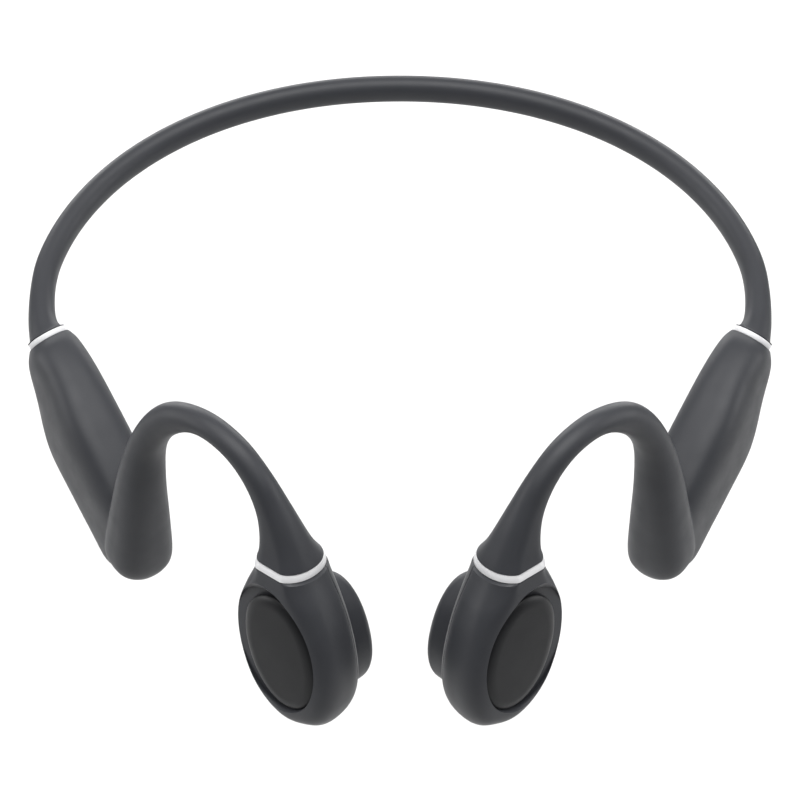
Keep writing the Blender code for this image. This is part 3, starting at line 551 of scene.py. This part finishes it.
def band_frames(steps=150, passes=12):
    """Centre, outward and upright directions along one arm, ending in the ring's plane."""
    upright = np.array((0.0, math.sin(BAND_RISE), math.cos(BAND_RISE)))
    ring_along, _, ring_lift = directions(*HOUSING[0][3:6])
    end = np.array(HOUSING[0][:3]) - ring_along * (RING_HALF_WIDTH + SEAM_GAP)
    shares = [step / steps for step in range(steps + 1)]
    centres = []
    for share in shares:
        blend = smooth((share - RING_TURN_START) / (1 - RING_TURN_START))
        centres.append(band_centre(share) * (1 - blend) + end * blend)
    mirror_start = np.array(centres[passes:0:-1]) * (-1, 1, 1)
    centres = relaxed(np.vstack((mirror_start, centres)), passes)[passes:]
    centres[0][0] = 0.0
    frames = []
    ahead = np.gradient(centres, axis=0)
    ahead[0] = (1.0, 0.0, 0.0)
    for share, centre, along in zip(shares, centres, ahead):
        blend = smooth((share - RING_TURN_START) / (1 - RING_TURN_START))
        along = along / np.linalg.norm(along) * (1 - blend) + ring_along * blend
        outward = np.cross(along, upright * (1 - blend) + ring_lift * blend)
        outward /= np.linalg.norm(outward)
        across = np.cross(outward, along)
        frames.append((centre, outward, across / np.linalg.norm(across), share))
    return frames


def band_route(offset):
    """World points of a line inside the neckband, from bay to bay."""
    frames = band_frames()
    points = [centre + upright * offset for centre, _, upright, _ in frames[:-6]]
    for along in BAND_ENTRY:
        points.append(HOUSING_AXES.at(0.0, along, offset))
    arm = spaced(np.array(points), 150, closed=False)
    arm = relaxed(arm, 10)
    arm[0][0] = 0.0
    left = world(arm, LEFT)
    right = world(arm, RIGHT)
    return np.vstack((right[:0:-1], left))


def hook_route(offset, tail):
    """Points of a line inside the ear hook, offset outward, from the bay to past the front ring."""
    rows = [HOUSING_AXES.at(offset, *place) for place in HOOK_ENTRY]
    for x, forward, z, toe, pitch, bank, *_ in HOOK[2:-1]:
        outward = directions(toe, pitch, bank)[1]
        rows.append(np.array((x, forward, z)) + outward * offset)
    for along in (-2.0, 0.0, tail):
        rows.append(TRANSDUCER_AXES.at(offset, along, 0.0))
    return smooth_rows(rows, 8, 2)


# ---------------------------------------------------------------- surface pieces

def station_rings(rows, side):
    rings = []
    for row in smooth_rows(rows):
        _, outward, lift = directions(*row[3:6])
        rings.append(world(place_section(whole_section(*row[6:11]), row[:3], outward, lift), side))
    return rings


def shifted(row, distance):
    """A station moved along its own limb."""
    moved = np.array(row, float)
    moved[:3] += directions(*row[3:6])[0] * distance
    return tuple(moved)


def beyond_ring(name, station, distance):
    """A block over a ring, from distance along its limb back across its plane."""
    along, outward, lift = directions(*station[3:6])
    near = np.array(station[:3], float) + along * distance
    far = near - along * math.copysign(RING_BLOCK_LENGTH, distance)
    rings = [world(place_section(RING_BLOCK, middle, outward, lift), LEFT) for middle in (near, far)]
    return skin_rings(name, rings)


def make_skin_base():
    """Housing and hook as one smooth body on the left side, cut off beside both accent rings."""
    neck = list(shifted(HOOK[-1], OVERRUN))
    neck[6:8] = NECK_BEYOND
    body = skin_rings("skin_base", station_rings([shifted(HOUSING[0], -OVERRUN)] + HOUSING, LEFT))
    hook = skin_rings("hook_base", station_rings(HOOK + [tuple(neck)], LEFT))
    combined(body, [hook], "UNION")
    remesh = body.modifiers.new("remesh", "REMESH")
    remesh.mode = "VOXEL"
    remesh.voxel_size = SKIN_VOXEL * MM
    remesh.adaptivity = 0.0
    soften = body.modifiers.new("soften", "SMOOTH")
    soften.factor = 0.5
    soften.iterations = SKIN_SOFTENING
    settle(body)
    return cut(body, beyond_ring("rear_end", HOUSING[0], RING_HALF_WIDTH + SEAM_GAP),
               beyond_ring("front_end", HOOK[-1], -NECK_RING_HALF_WIDTH - SEAM_GAP))


def housing_block(name, side, low, high, bevel):
    corners = [HOUSING_AXES.at(*[(low, high)[pick][axis] for axis, pick in enumerate(choice)])
               for choice in ((0, 0, 0), (0, 0, 1), (0, 1, 1), (0, 1, 0),
                              (1, 0, 0), (1, 0, 1), (1, 1, 1), (1, 1, 0))]
    faces = [(0, 1, 2, 3), (4, 5, 6, 7), (0, 1, 5, 4), (1, 2, 6, 5), (2, 3, 7, 6), (3, 0, 4, 7)]
    piece = new_piece(name, world(corners, side), faces)
    return rounded_edges(piece, bevel)


def bay_window(name, side, inset, low, high):
    """The rounded window on the head side that the inner cover fills."""
    centre = (BAY_REAR + BAY_FRONT) / 2
    half_length = (BAY_FRONT - BAY_REAR) / 2 + LEDGE - inset
    half_height = BAY_HALF_HEIGHT + LEDGE - inset
    layers = [(level, half_length, half_height, BAY_SQUARENESS) for level in (low, high)]
    return oval_stack(name, HOUSING_AXES, side, (centre, 0.0), layers)


def half_route(offset, side):
    """World points of the neckband's line on one side only."""
    route = band_route(offset)
    return route[len(route) // 2:] if side == LEFT else route[:len(route) // 2 + 1]


def make_skin(side, base):
    name = SIDE_NAMES[side]
    piece = mirrored(base, name + "_earhook_skin_form") if side == RIGHT else copied(
        base, name + "_earhook_skin_form")
    tools = [
        housing_block("bay", side, (BAY_INNER - GAP, BAY_REAR, -BAY_HALF_HEIGHT),
                      (BAY_OUTER, BAY_FRONT, BAY_HALF_HEIGHT), BAY_BEVEL),
        bay_window("window", side, 0.0, HEAD_SIDE, BAY_INNER),
        tube("band_bore", half_route(0.0, side), CHANNEL_RADIUS),
        tube("hook_bore", world(hook_route(0.0, 6.0), side), CHANNEL_RADIUS),
    ]
    if side == RIGHT:
        below = SKIN_UNDERSIDE - 3.0
        mouth = (BUTTON[0] + BUTTON_GAP, BUTTON[1] + BUTTON_GAP, BUTTON[2])
        for along in BUTTON_PLACES.values():
            tools.append(lift_stack("pocket", HOUSING_AXES, side, along,
                                    [(below, *mouth), (BUTTON_FLOOR, *mouth)]))
            tools.append(lift_rod("stem_bore", side, along, KEY_STEM_BORE, BUTTON_FLOOR - 0.5,
                                  KEY_STEM_END))
        tools.append(lift_rod("sound_hole", side, *SOUND_HOLE, below, KEY_STEM_END))
        tools.append(lift_rod("light_hole", side, LIGHT[0], LIGHT[1] + 0.1, below, -6.0))
    cut(piece, *tools)
    return finish_piece(shade(piece), name + "_frame", "silicone", name + "_earhook_skin")


def make_cover(side, base):
    name = SIDE_NAMES[side]
    piece = mirrored(base, name + "_housing_cover_form") if side == RIGHT else copied(
        base, name + "_housing_cover_form")
    panel = bay_window("cover_outline", side, SEAM_GAP, HEAD_SIDE, BAY_INNER - GAP)
    combined(piece, [panel], "INTERSECT")
    if side == RIGHT:
        slot = oval_stack("port_slot", HOUSING_AXES, side, PORT_PLACE,
                          [(HEAD_SIDE, *PORT_SLOT), (PORT_BACK + 1.0, *PORT_SLOT)])
        cut(piece, slot)
    return finish_piece(shade(piece), name + "_frame", "shell", name + "_housing_cover")


def make_sleeve():
    """The whole neckband sleeve in one piece, with its bore, from ring to ring."""
    outer, inner = [], []
    frames = band_frames()
    turn = np.linspace(0, 2 * np.pi, BAND_SIDES, endpoint=False)[:, None]
    for centre, outward, upright, share in frames:
        flare = max(0.0, (share - FLARE_START) / (1 - FLARE_START)) ** FLARE_POWER
        half_out = BAND_HALF_THICKNESS + FLARE_THICKNESS * flare
        half_up = BAND_HALF_HEIGHT + FLARE_HEIGHT * flare
        squareness = BAND_SQUARENESS + (HOUSING[0][8] - BAND_SQUARENESS) * flare
        points = oval_section(half_out, half_up, squareness, BAND_SIDES)
        outer.append(place_section(points, centre, outward, upright))
        bore = np.hstack((np.cos(turn), np.sin(turn))) * CHANNEL_RADIUS
        inner.append(place_section(bore, centre, outward, upright))
    outer += rounded_end(outer[-1], outer[-1] - outer[-2], frames[-1][0])
    outer[-len(END_ROUNDING) - 1:-len(END_ROUNDING)] = []
    left = [world(ring, LEFT) for ring in outer]
    left_bore = [world(ring, LEFT) for ring in inner]
    right = [ring * (-1, 1, 1) for ring in left[:0:-1]]
    right_bore = [ring * (-1, 1, 1) for ring in left_bore[:0:-1]]
    chain = right + left + (right_bore + left_bore)[::-1]
    piece = skin_rings("neckband_sleeve", chain, closed=True)
    return bend_piece(shade(piece, 40), "silicone", "neckband_sleeve")


def rounded_end(ring, step, centre):
    """The last rings of a limb, whose end edge is rounded."""
    ahead = step.mean(axis=0)
    ahead /= np.linalg.norm(ahead)
    inward = centre - ring
    inward /= np.linalg.norm(inward, axis=1)[:, None]
    return [ring + ahead * shift + inward * inset for shift, inset in END_ROUNDING]


def ring_band(name, side, station, half_width, relief=0.0, taper=0.0):
    """An accent ring with softened edges, round a limb's station, narrower by taper on its near side."""
    along, outward, lift = directions(*station[3:6])
    half_out, half_up, *rest = station[6:11]
    rings = []
    for shift, inset in ((-1.0, 1.0), (-0.96, 0.3), (-0.86, 0.0), (0.86, 0.0), (0.96, 0.3), (1.0, 1.0)):
        grown = relief - inset * RING_EDGE - taper * (1 - shift) / 2
        section = whole_section(half_out + grown, half_up + grown, *rest)
        middle = np.array(station[:3]) + along * shift * half_width
        rings.append(world(place_section(section, middle, outward, lift), side))
    return skin_rings(name, rings)


def make_rings(side):
    name = SIDE_NAMES[side]
    rear = ring_band(name + "_rear_ring_form", side, HOUSING[0], RING_HALF_WIDTH)
    cut(rear, tube("band_bore", half_route(0.0, side), CHANNEL_RADIUS))
    finish_piece(shade(rear, 40), name + "_frame", "accent", name + "_rear_ring")
    front = ring_band(name + "_front_ring_form", side, HOOK[-1], NECK_RING_HALF_WIDTH, RING_RELIEF,
                      RING_TAPER)
    cut(front, tube("hook_bore", world(hook_route(0.0, 6.0), side), CHANNEL_RADIUS))
    finish_piece(shade(front, 40), name + "_frame", "accent", name + "_front_ring")


# ---------------------------------------------------------------- transducer

ROW_SPACING = 0.3             # rows nearer the shell's start than this are left out
SHELL_POINTS = 40             # points round a shell section, from its face's corner to the seam
COVER_POINTS = 56
BASE_POINTS = 8


def transducer_sections():
    """Middle, outward and up directions and shape of each section, from the front ring on."""
    centre = np.array(HOOK[-1][:3])
    normal, outward, up = directions(*HOOK[-1][3:6])
    start = NECK_RING_HALF_WIDTH + SEAM_GAP
    sections = [(centre + normal * start, outward, up, HOOK[-1][6:11])]
    for along, lift, *shape, turn in smooth_rows(TRANSDUCER):
        middle = TRANSDUCER_AXES.at(0.0, along, lift)
        if (middle - centre).dot(normal) < start + ROW_SPACING:
            continue
        _, outward, up = directions(TRANSDUCER_TOE, TRANSDUCER_PITCH + turn, TRANSDUCER_BANK)
        sections.append((middle, outward, up, shape))
    return sections


def down_to(line, level):
    """The line's points until it falls below level, ending there."""
    below = np.flatnonzero(line[:, 0] < level)
    if not len(below):
        return line
    after = below[0]
    high, low = line[after - 1], line[after]
    return np.vstack((line[:after], high + (low - high) * (high[0] - level) / (high[0] - low[0])))


def shell_section(shape):
    """The part of a section outside the seam, closed along it."""
    face, rest = section_halves(*shape)
    side = down_to(rest, SEAM)
    base = np.array((side[-1], side[-1] * (1, 0)))
    return mirrored_section(joined((face, FACE_POINTS), (side, SHELL_POINTS), (base, BASE_POINTS)))


def cover_section(shape):
    """The part of a section on the head side of the seam, closed along it."""
    _, rest = section_halves(*shape)
    side = down_to(rest[::-1] * (-1, 1), SEAM_GAP - SEAM)[::-1] * (-1, 1)
    base = np.array((side[0] * (1, 0), side[0]))
    return mirrored_section(joined((base, BASE_POINTS), (side, COVER_POINTS)))


def transducer_form(name, side, section, least=0.0):
    rings = [world(place_section(section(shape), middle, outward, up), side)
             for middle, outward, up, shape in transducer_sections() if shape[0] > least]
    return skin_rings(name, rings)


def make_recess(side):
    """The recess for the cap, which widens in a curve towards its rim and leans as it does."""
    axes = TRANSDUCER_AXES
    rings = []
    for row in range(RECESS_ROWS):
        rise = row * RECESS_STEP
        flare = MOUTH_FLARE * max(0.0, rise - RECESS_STEP) ** 2
        along = MOTOR_ALONG + MOUTH_SHIFT[0] + FLARE_SHIFT[0] * flare
        lift = MOTOR_LIFT + MOUTH_SHIFT[1] + FLARE_SHIFT[1] * flare
        middle = axes.at(RECESS_FLOOR + rise, along, lift)
        ring = oval_ring(middle, axes.along, axes.lift, MOUTH[0] + flare, MOUTH[1] + flare, CAP[2])
        rings.append(world(ring, side))
    return skin_rings("recess", rings)


def make_shell(side):
    name = SIDE_NAMES[side]
    place = (MOTOR_ALONG, MOTOR_LIFT)
    piece = transducer_form(name + "_transducer_shell_form", side, shell_section)
    rounded_edges(piece, EDGE)
    cavity = [(SEAM - 1.0, *CAVITY), (CAVITY_TOP, *CAVITY)]
    cut(piece,
        oval_stack("cavity", TRANSDUCER_AXES, side, place, cavity),
        make_recess(side),
        rod("stem_hole", side, place, STEM_RADIUS + 0.4, CAVITY_TOP - 1.0, RECESS_FLOOR + 1.0),
        tube("hook_bore", world(hook_route(0.0, 6.0), side), CHANNEL_RADIUS))
    return finish_piece(shade(piece), name + "_frame", "shell", name + "_transducer_shell")


def make_transducer_cover(side):
    name = SIDE_NAMES[side]
    piece = transducer_form(name + "_transducer_cover_form", side, cover_section, 0.25 - SEAM)
    rounded_edges(piece, 0.6 * EDGE, angle=60)
    mouth = (PAD[0] + PAD_CLEARANCE, PAD[1] + PAD_CLEARANCE, PAD_SQUARENESS)
    cut(piece, oval_stack("pad_hole", TRANSDUCER_AXES, side, (PAD_ALONG, MOTOR_LIFT),
                          [(PAD_FACE - 1.0, *mouth), (0.0, *mouth)]))
    return finish_piece(shade(piece), name + "_frame", "shell", name + "_transducer_cover")


def make_cap(side):
    """The oval cap: a low pillow on its stem."""
    name = SIDE_NAMES[side]
    place = (MOTOR_ALONG, MOTOR_LIFT)
    layers = [(CAP_BOTTOM, *CAP), (CAP_EDGE, *CAP)]
    rows = 16
    for row in range(1, rows + 1):
        turn = math.pi / 2 * row / rows
        inset = CAP_ROUNDING * (1 - math.cos(turn))
        level = CAP_EDGE + (CAP_TOP - CAP_DOME - CAP_EDGE) * math.sin(turn)
        layers.append((level, CAP[0] - inset, CAP[1] - inset, CAP[2]))
    edge = layers[-1]
    for share in (0.8, 0.6, 0.4, 0.2, 0.05):
        layers.append((edge[0] + CAP_DOME * (1 - share ** 2), edge[1] * share, edge[2] * share, CAP[2]))
    piece = oval_stack(name + "_control_cap_form", TRANSDUCER_AXES, side, place, layers)
    stem_end = SWITCH_TOP + CAP_TRAVEL + PRESS_GAP
    stem = rod("stem", side, place, STEM_RADIUS, stem_end, CAP_BOTTOM + JOIN)
    combined(piece, [stem], "UNION")
    return finish_piece(shade(piece), name + "_control", "cap", name + "_control_cap")


def make_pad(side):
    """The contact pad: a soft oval button with a rounded edge round its flat face."""
    name = SIDE_NAMES[side]
    layers = edge_rows(PAD_BASE, PAD_FACE, PAD, PAD_ROUNDING, PAD_SQUARENESS, rows=12)
    place = (PAD_ALONG, MOTOR_LIFT)
    piece = oval_stack(name + "_contact_pad_form", TRANSDUCER_AXES, side, place, layers)
    return finish_piece(shade(piece), name + "_pad", "silicone", name + "_contact_pad")


def make_motor(side):
    """Yoke, magnet and spring on the frame, coil on the pad."""
    name = SIDE_NAMES[side]
    place = (MOTOR_ALONG, MOTOR_LIFT)
    axes = TRANSDUCER_AXES
    radius, bowl, bottom, top, ceiling = YOKE
    yoke = oval_stack(name + "_yoke_form", axes, side, place,
                      [(ceiling, bowl, bowl, 2), (bottom, bowl, bowl, 2), (bottom, radius, radius, 2),
                       (top, radius, radius, 2)])
    finish_piece(shade(rounded_edges(yoke, 0.15)), name + "_frame", "steel", name + "_yoke")
    radius, low, high = MAGNET
    magnet = rod(name + "_magnet_form", side, place, radius, low, high)
    finish_piece(shade(rounded_edges(magnet, 0.15)), name + "_frame", "magnet", name + "_magnet")
    outer, inner, low, high = COIL
    coil = oval_stack(name + "_voice_coil_form", axes, side, place,
                      [(low, outer, outer, 2), (high, outer, outer, 2), (high, inner, inner, 2),
                       (low, inner, inner, 2)], closed=True)
    finish_piece(shade(rounded_edges(coil, 0.1)), name + "_pad", "copper", name + "_voice_coil")
    half_along, half_lift, hole, low, high = SPRING
    spring = oval_stack(name + "_suspension_spring_form", axes, side, place,
                        [(low, half_along, half_lift, CAVITY[2]), (high, half_along, half_lift, CAVITY[2]),
                         (high, hole, hole, 2), (low, hole, hole, 2)], closed=True)
    finish_piece(shade(spring), name + "_frame", "steel", name + "_suspension_spring")


# ---------------------------------------------------------------- wires and small pieces

def make_wires():
    """Spring wires and leads; those in the neckband run right across."""
    for kind, offset, radius, finish in (("wire", WIRE_OFFSET, WIRE_RADIUS, "titanium"),
                                         ("lead", LEAD_OFFSET, LEAD_RADIUS, "insulation")):
        piece = tube("neckband_" + kind, band_route(offset), radius, 16)
        bend_piece(shade(piece), finish, "neckband_" + kind)
    for side, name in SIDE_NAMES.items():
        wire = tube(name + "_hook_wire_form", world(hook_route(WIRE_OFFSET, HOOK_WIRE_END), side),
                    WIRE_RADIUS, 16)
        finish_piece(shade(wire), name + "_frame", "titanium", name + "_hook_wire")
        lead = tube(name + "_hook_lead_form", world(hook_route(LEAD_OFFSET, HOOK_LEAD_END), side),
                    LEAD_RADIUS, 16)
        finish_piece(shade(lead), name + "_frame", "insulation", name + "_hook_lead")


def make_keys():
    """The volume keys, the status light and the charging contacts, all on the right housing."""
    axes = HOUSING_AXES
    for name, along in BUTTON_PLACES.items():
        low = SKIN_UNDERSIDE - BUTTON_PROUD
        high = low + BUTTON_THICKNESS
        layers = edge_rows(high, low, BUTTON[:2], 0.45, BUTTON[2])
        key = lift_stack(name + "_button_form", axes, RIGHT, along, layers)
        stem = lift_rod("stem", RIGHT, along, KEY_STEM_RADIUS, high - 0.4, KEY_STEM_END)
        combined(key, [stem], "UNION")
        finish_piece(shade(key), name, "silicone", name + "_button")
    along, radius = LIGHT
    light = lift_stack("status_light_form", axes, RIGHT, along,
                       edge_rows(LIGHT_TOP, SKIN_UNDERSIDE + 0.1, (radius, radius), 0.2, 2))
    finish_piece(shade(light), "right_frame", "lens", "status_light")
    seat = oval_stack("charge_port_seat_form", axes, RIGHT, PORT_PLACE,
                      [(PORT_BACK, *PORT_SEAT), (PORT_FACE, *PORT_SEAT)])
    rounded_edges(seat, 0.12, angle=60)
    bores = []
    bore = [(level, PIN_BORE, PIN_BORE, 2) for level in (PORT_FACE - 2, PORT_BACK + 2)]
    for end, shift in PIN_PLACES.items():
        spot = (PORT_PLACE[0] + shift, PORT_PLACE[1])
        bores.append(oval_stack("bore", axes, RIGHT, spot, bore))
        pin = oval_stack("charge_pin_form_" + end, axes, RIGHT, spot,
                         edge_rows(PIN_BACK, PORT_FACE, (PIN_RADIUS, PIN_RADIUS), 0.25, 2))
        finish_piece(shade(pin), "right_frame", "gold", "charge_pin_" + end)
    cut(seat, *bores)
    finish_piece(shade(seat), "right_frame", "tray", "charge_port_seat")


# ---------------------------------------------------------------- materials

GRAPHITE = (0.033, 0.0345, 0.0395)
# the cap's own darker moulding, made darker still as painted shade on its outward-facing top
DARK_GRAPHITE_AND_PAINTED_SHADE = (0.011, 0.0113, 0.0125)
MATERIALS = {}


def node_material(name, roughness, metallic=0.0, **inputs):
    material = bpy.data.materials.new(name)
    material.use_nodes = True
    shader = material.node_tree.nodes["Principled BSDF"]
    shader.inputs["Roughness"].default_value = roughness
    shader.inputs["Metallic"].default_value = metallic
    for label, value in inputs.items():
        shader.inputs[label.replace("_", " ")].default_value = value
    return material, shader


def object_noise(tree, scale, detail=3.0, roughness=0.55, stretch=None):
    coordinates = tree.nodes.new("ShaderNodeTexCoord")
    noise = tree.nodes.new("ShaderNodeTexNoise")
    noise.inputs["Scale"].default_value = scale
    noise.inputs["Detail"].default_value = detail
    noise.inputs["Roughness"].default_value = roughness
    source = coordinates.outputs["Object"]
    if stretch is not None:
        mapping = tree.nodes.new("ShaderNodeMapping")
        mapping.inputs["Scale"].default_value = stretch
        tree.links.new(source, mapping.inputs["Vector"])
        source = mapping.outputs["Vector"]
    tree.links.new(source, noise.inputs["Vector"])
    return noise


def varied_colour(tree, shader, colour, spread, scale):
    """Base colour that drifts a little over the surface."""
    noise = object_noise(tree, scale)
    ramp = tree.nodes.new("ShaderNodeValToRGB")
    ramp.color_ramp.elements[0].position = 0.3
    ramp.color_ramp.elements[1].position = 0.7
    ramp.color_ramp.elements[0].color = (*[c * (1 - spread) for c in colour], 1)
    ramp.color_ramp.elements[1].color = (*[c * (1 + spread) for c in colour], 1)
    tree.links.new(noise.outputs["Fac"], ramp.inputs["Fac"])
    tree.links.new(ramp.outputs["Color"], shader.inputs["Base Color"])


def varied_roughness(tree, shader, low, high, scale):
    noise = object_noise(tree, scale)
    spread = tree.nodes.new("ShaderNodeMapRange")
    spread.inputs["From Min"].default_value = 0.3
    spread.inputs["From Max"].default_value = 0.7
    spread.inputs["To Min"].default_value = low
    spread.inputs["To Max"].default_value = high
    tree.links.new(noise.outputs["Fac"], spread.inputs["Value"])
    tree.links.new(spread.outputs["Result"], shader.inputs["Roughness"])


def grain(tree, shader, scale, strength, distance, stretch=None):
    """Fine relief of a moulded or drawn surface."""
    noise = object_noise(tree, scale, detail=2.0, stretch=stretch)
    bump = tree.nodes.new("ShaderNodeBump")
    bump.inputs["Strength"].default_value = strength
    bump.inputs["Distance"].default_value = distance
    tree.links.new(noise.outputs["Fac"], bump.inputs["Height"])
    tree.links.new(bump.outputs["Normal"], shader.inputs["Normal"])


def moulded(name, colour, roughness, spread=0.05, grain_size=0.16, relief=0.004, **inputs):
    material, shader = node_material(name, roughness, **inputs)
    tree = material.node_tree
    varied_colour(tree, shader, colour, spread, 55)
    varied_roughness(tree, shader, roughness - 0.04, roughness + 0.05, 240)
    grain(tree, shader, 1 / (grain_size * MM), 0.35, relief * MM)
    return material


def metal(name, colour, roughness, stretch=(1, 1, 1)):
    material, shader = node_material(name, roughness, 1.0)
    tree = material.node_tree
    varied_colour(tree, shader, colour, 0.06, 400)
    varied_roughness(tree, shader, roughness - 0.06, roughness + 0.08, 900)
    grain(tree, shader, 4000, 0.25, 0.003 * MM, stretch)
    return material


def make_materials():
    MATERIALS["silicone"] = moulded("soft_touch_silicone", GRAPHITE, 0.46, Specular_IOR_Level=0.3)
    MATERIALS["shell"] = moulded("satin_shell", GRAPHITE, 0.42, Specular_IOR_Level=0.35)
    # the cap's colour is partly its darker moulding and partly painted shade
    MATERIALS["cap"] = moulded("dark_satin_cap_with_painted_shade", DARK_GRAPHITE_AND_PAINTED_SHADE, 0.4, grain_size=0.12,
                               Specular_IOR_Level=0.25)
    MATERIALS["accent"] = moulded("accent_gloss", (0.68, 0.68, 0.69), 0.3, spread=0.015, relief=0.001)
    MATERIALS["titanium"] = metal("titanium", (0.5, 0.49, 0.47), 0.35, (1, 1, 0.1))
    MATERIALS["insulation"] = moulded("wire_insulation", (0.04, 0.04, 0.045), 0.6)
    MATERIALS["steel"] = metal("plated_steel", (0.6, 0.6, 0.62), 0.3)
    MATERIALS["magnet"] = metal("nickel_plating", (0.66, 0.64, 0.6), 0.2)
    MATERIALS["copper"] = metal("copper_winding", (0.72, 0.34, 0.17), 0.35, (0.2, 0.2, 1))
    MATERIALS["gold"] = metal("gold_plating", (0.83, 0.62, 0.27), 0.22)
    MATERIALS["board"] = moulded("circuit_board", (0.03, 0.16, 0.09), 0.5, spread=0.25, grain_size=0.5)
    MATERIALS["foil"] = metal("tinned_foil", (0.6, 0.61, 0.63), 0.38)
    MATERIALS["ceramic"] = moulded("ceramic", (0.75, 0.73, 0.68), 0.5)
    MATERIALS["tray"] = moulded("black_plastic", (0.035, 0.036, 0.04), 0.5)
    MATERIALS["lens"] = moulded("light_pipe", (0.82, 0.85, 0.86), 0.25, spread=0.02)


def dress(piece, finish):
    piece.data.materials.clear()
    piece.data.materials.append(MATERIALS[finish])


def finish_piece(piece, body, finish, node):
    """Dress a piece that replaces one CAD node and rides on a body."""
    dress(piece, finish)
    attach(piece, body)
    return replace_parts(piece, node)


def bend_piece(piece, finish, ending):
    """Dress a piece that stands for both halves of a CAD node."""
    dress(piece, finish)
    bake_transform(piece)
    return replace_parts(piece, "left_" + ending, "right_" + ending)


def dress_inner_nodes():
    """The CAD's own pieces inside the housings keep their shapes and get finished materials."""
    slots = {row["node"]: row["material_slot"] for row in frame["record"]["subparts"]}
    for node, piece in frame["nodes"].items():
        if piece.hide_render:
            continue
        piece.data.materials.clear()
        piece.data.materials.append(MATERIALS[slots[node]])


# ---------------------------------------------------------------- stage

CAMERA_ELEVATION = math.radians(43)
CAMERA_DISTANCE = 0.5
CAMERA_LENS = 116.2
AIM_AHEAD = 17.76             # the camera looks this far behind the rear rings


def make_camera():
    back = Vector((0, -math.cos(CAMERA_ELEVATION), math.sin(CAMERA_ELEVATION)))
    aim = Vector((0, SETBACK - AIM_AHEAD, HEIGHT)) * MM
    data = bpy.data.cameras.new("camera")
    data.sensor_width = 36
    data.lens = CAMERA_LENS
    data.clip_start = 0.01
    camera = bpy.data.objects.new("camera", data)
    camera.location = aim + back * CAMERA_DISTANCE
    camera.rotation_euler = (-back).to_track_quat("-Z", "Y").to_euler()
    bpy.context.scene.collection.objects.link(camera)
    bpy.context.scene.camera = camera


LIGHT_DISTANCE = 0.8
LIGHT_SIZE = 0.5
# Soft boxes: azimuth from the front and elevation in degrees, power in watts
SOFT_BOXES = {
    "top": (0, 90, 3.0),
    "left_back": (160, 12, 3.2),
    "right_back": (-160, 12, 3.2),
    "left_side": (92, 12, 2.6),
    "right_side": (-92, 12, 2.6),
    "left_high": (90, 60, 1.5),
    "right_high": (-90, 60, 1.5),
    "left_front": (35, 62, 2.0),
    "right_front": (-35, 62, 2.0),
}
FLOOR_DROP = 0.2              # the floor lies this far below the object, so that no shadow shows
FLOOR_COLOUR = 0.7
ROOM_LIGHT = 0.12


def soft_box(name, azimuth, elevation, power):
    data = bpy.data.lights.new(name, "AREA")
    data.shape = "SQUARE"
    data.size = LIGHT_SIZE
    data.energy = power
    light = bpy.data.objects.new(name, data)
    turn, rise = math.radians(azimuth), math.radians(elevation)
    level = math.cos(rise)
    back = Vector((math.sin(turn) * level, -math.cos(turn) * level, math.sin(rise)))
    light.location = Vector((0, 0, HEIGHT * MM)) + back * LIGHT_DISTANCE
    light.rotation_euler = (-back).to_track_quat("-Z", "Y").to_euler()
    bpy.context.scene.collection.objects.link(light)


def make_stage():
    world_data = bpy.data.worlds.new("studio")
    world_data.use_nodes = True
    background = world_data.node_tree.nodes["Background"]
    background.inputs["Color"].default_value = (1, 1, 1, 1)
    background.inputs["Strength"].default_value = ROOM_LIGHT
    bpy.context.scene.world = world_data
    bpy.context.scene.view_settings.view_transform = "Standard"
    bpy.ops.mesh.primitive_plane_add(size=8, location=(0, 0, -FLOOR_DROP))
    floor = bpy.context.active_object
    floor.name = "floor"
    material, shader = node_material("pale_floor", 0.7, Specular_IOR_Level=0.0)
    shader.inputs["Base Color"].default_value = (FLOOR_COLOUR, FLOOR_COLOUR, FLOOR_COLOUR, 1)
    floor.data.materials.append(material)
    for name, (azimuth, elevation, power) in SOFT_BOXES.items():
        soft_box(name, azimuth, elevation, power)


# ---------------------------------------------------------------- assembly

make_camera()
make_materials()
skin_base = make_skin_base()
for each_side in (LEFT, RIGHT):
    make_skin(each_side, skin_base)
    make_cover(each_side, skin_base)
    make_rings(each_side)
    make_shell(each_side)
    make_transducer_cover(each_side)
    make_cap(each_side)
    make_pad(each_side)
    make_motor(each_side)
discard(skin_base)
make_sleeve()
make_wires()
make_keys()
dress_inner_nodes()
make_stage()
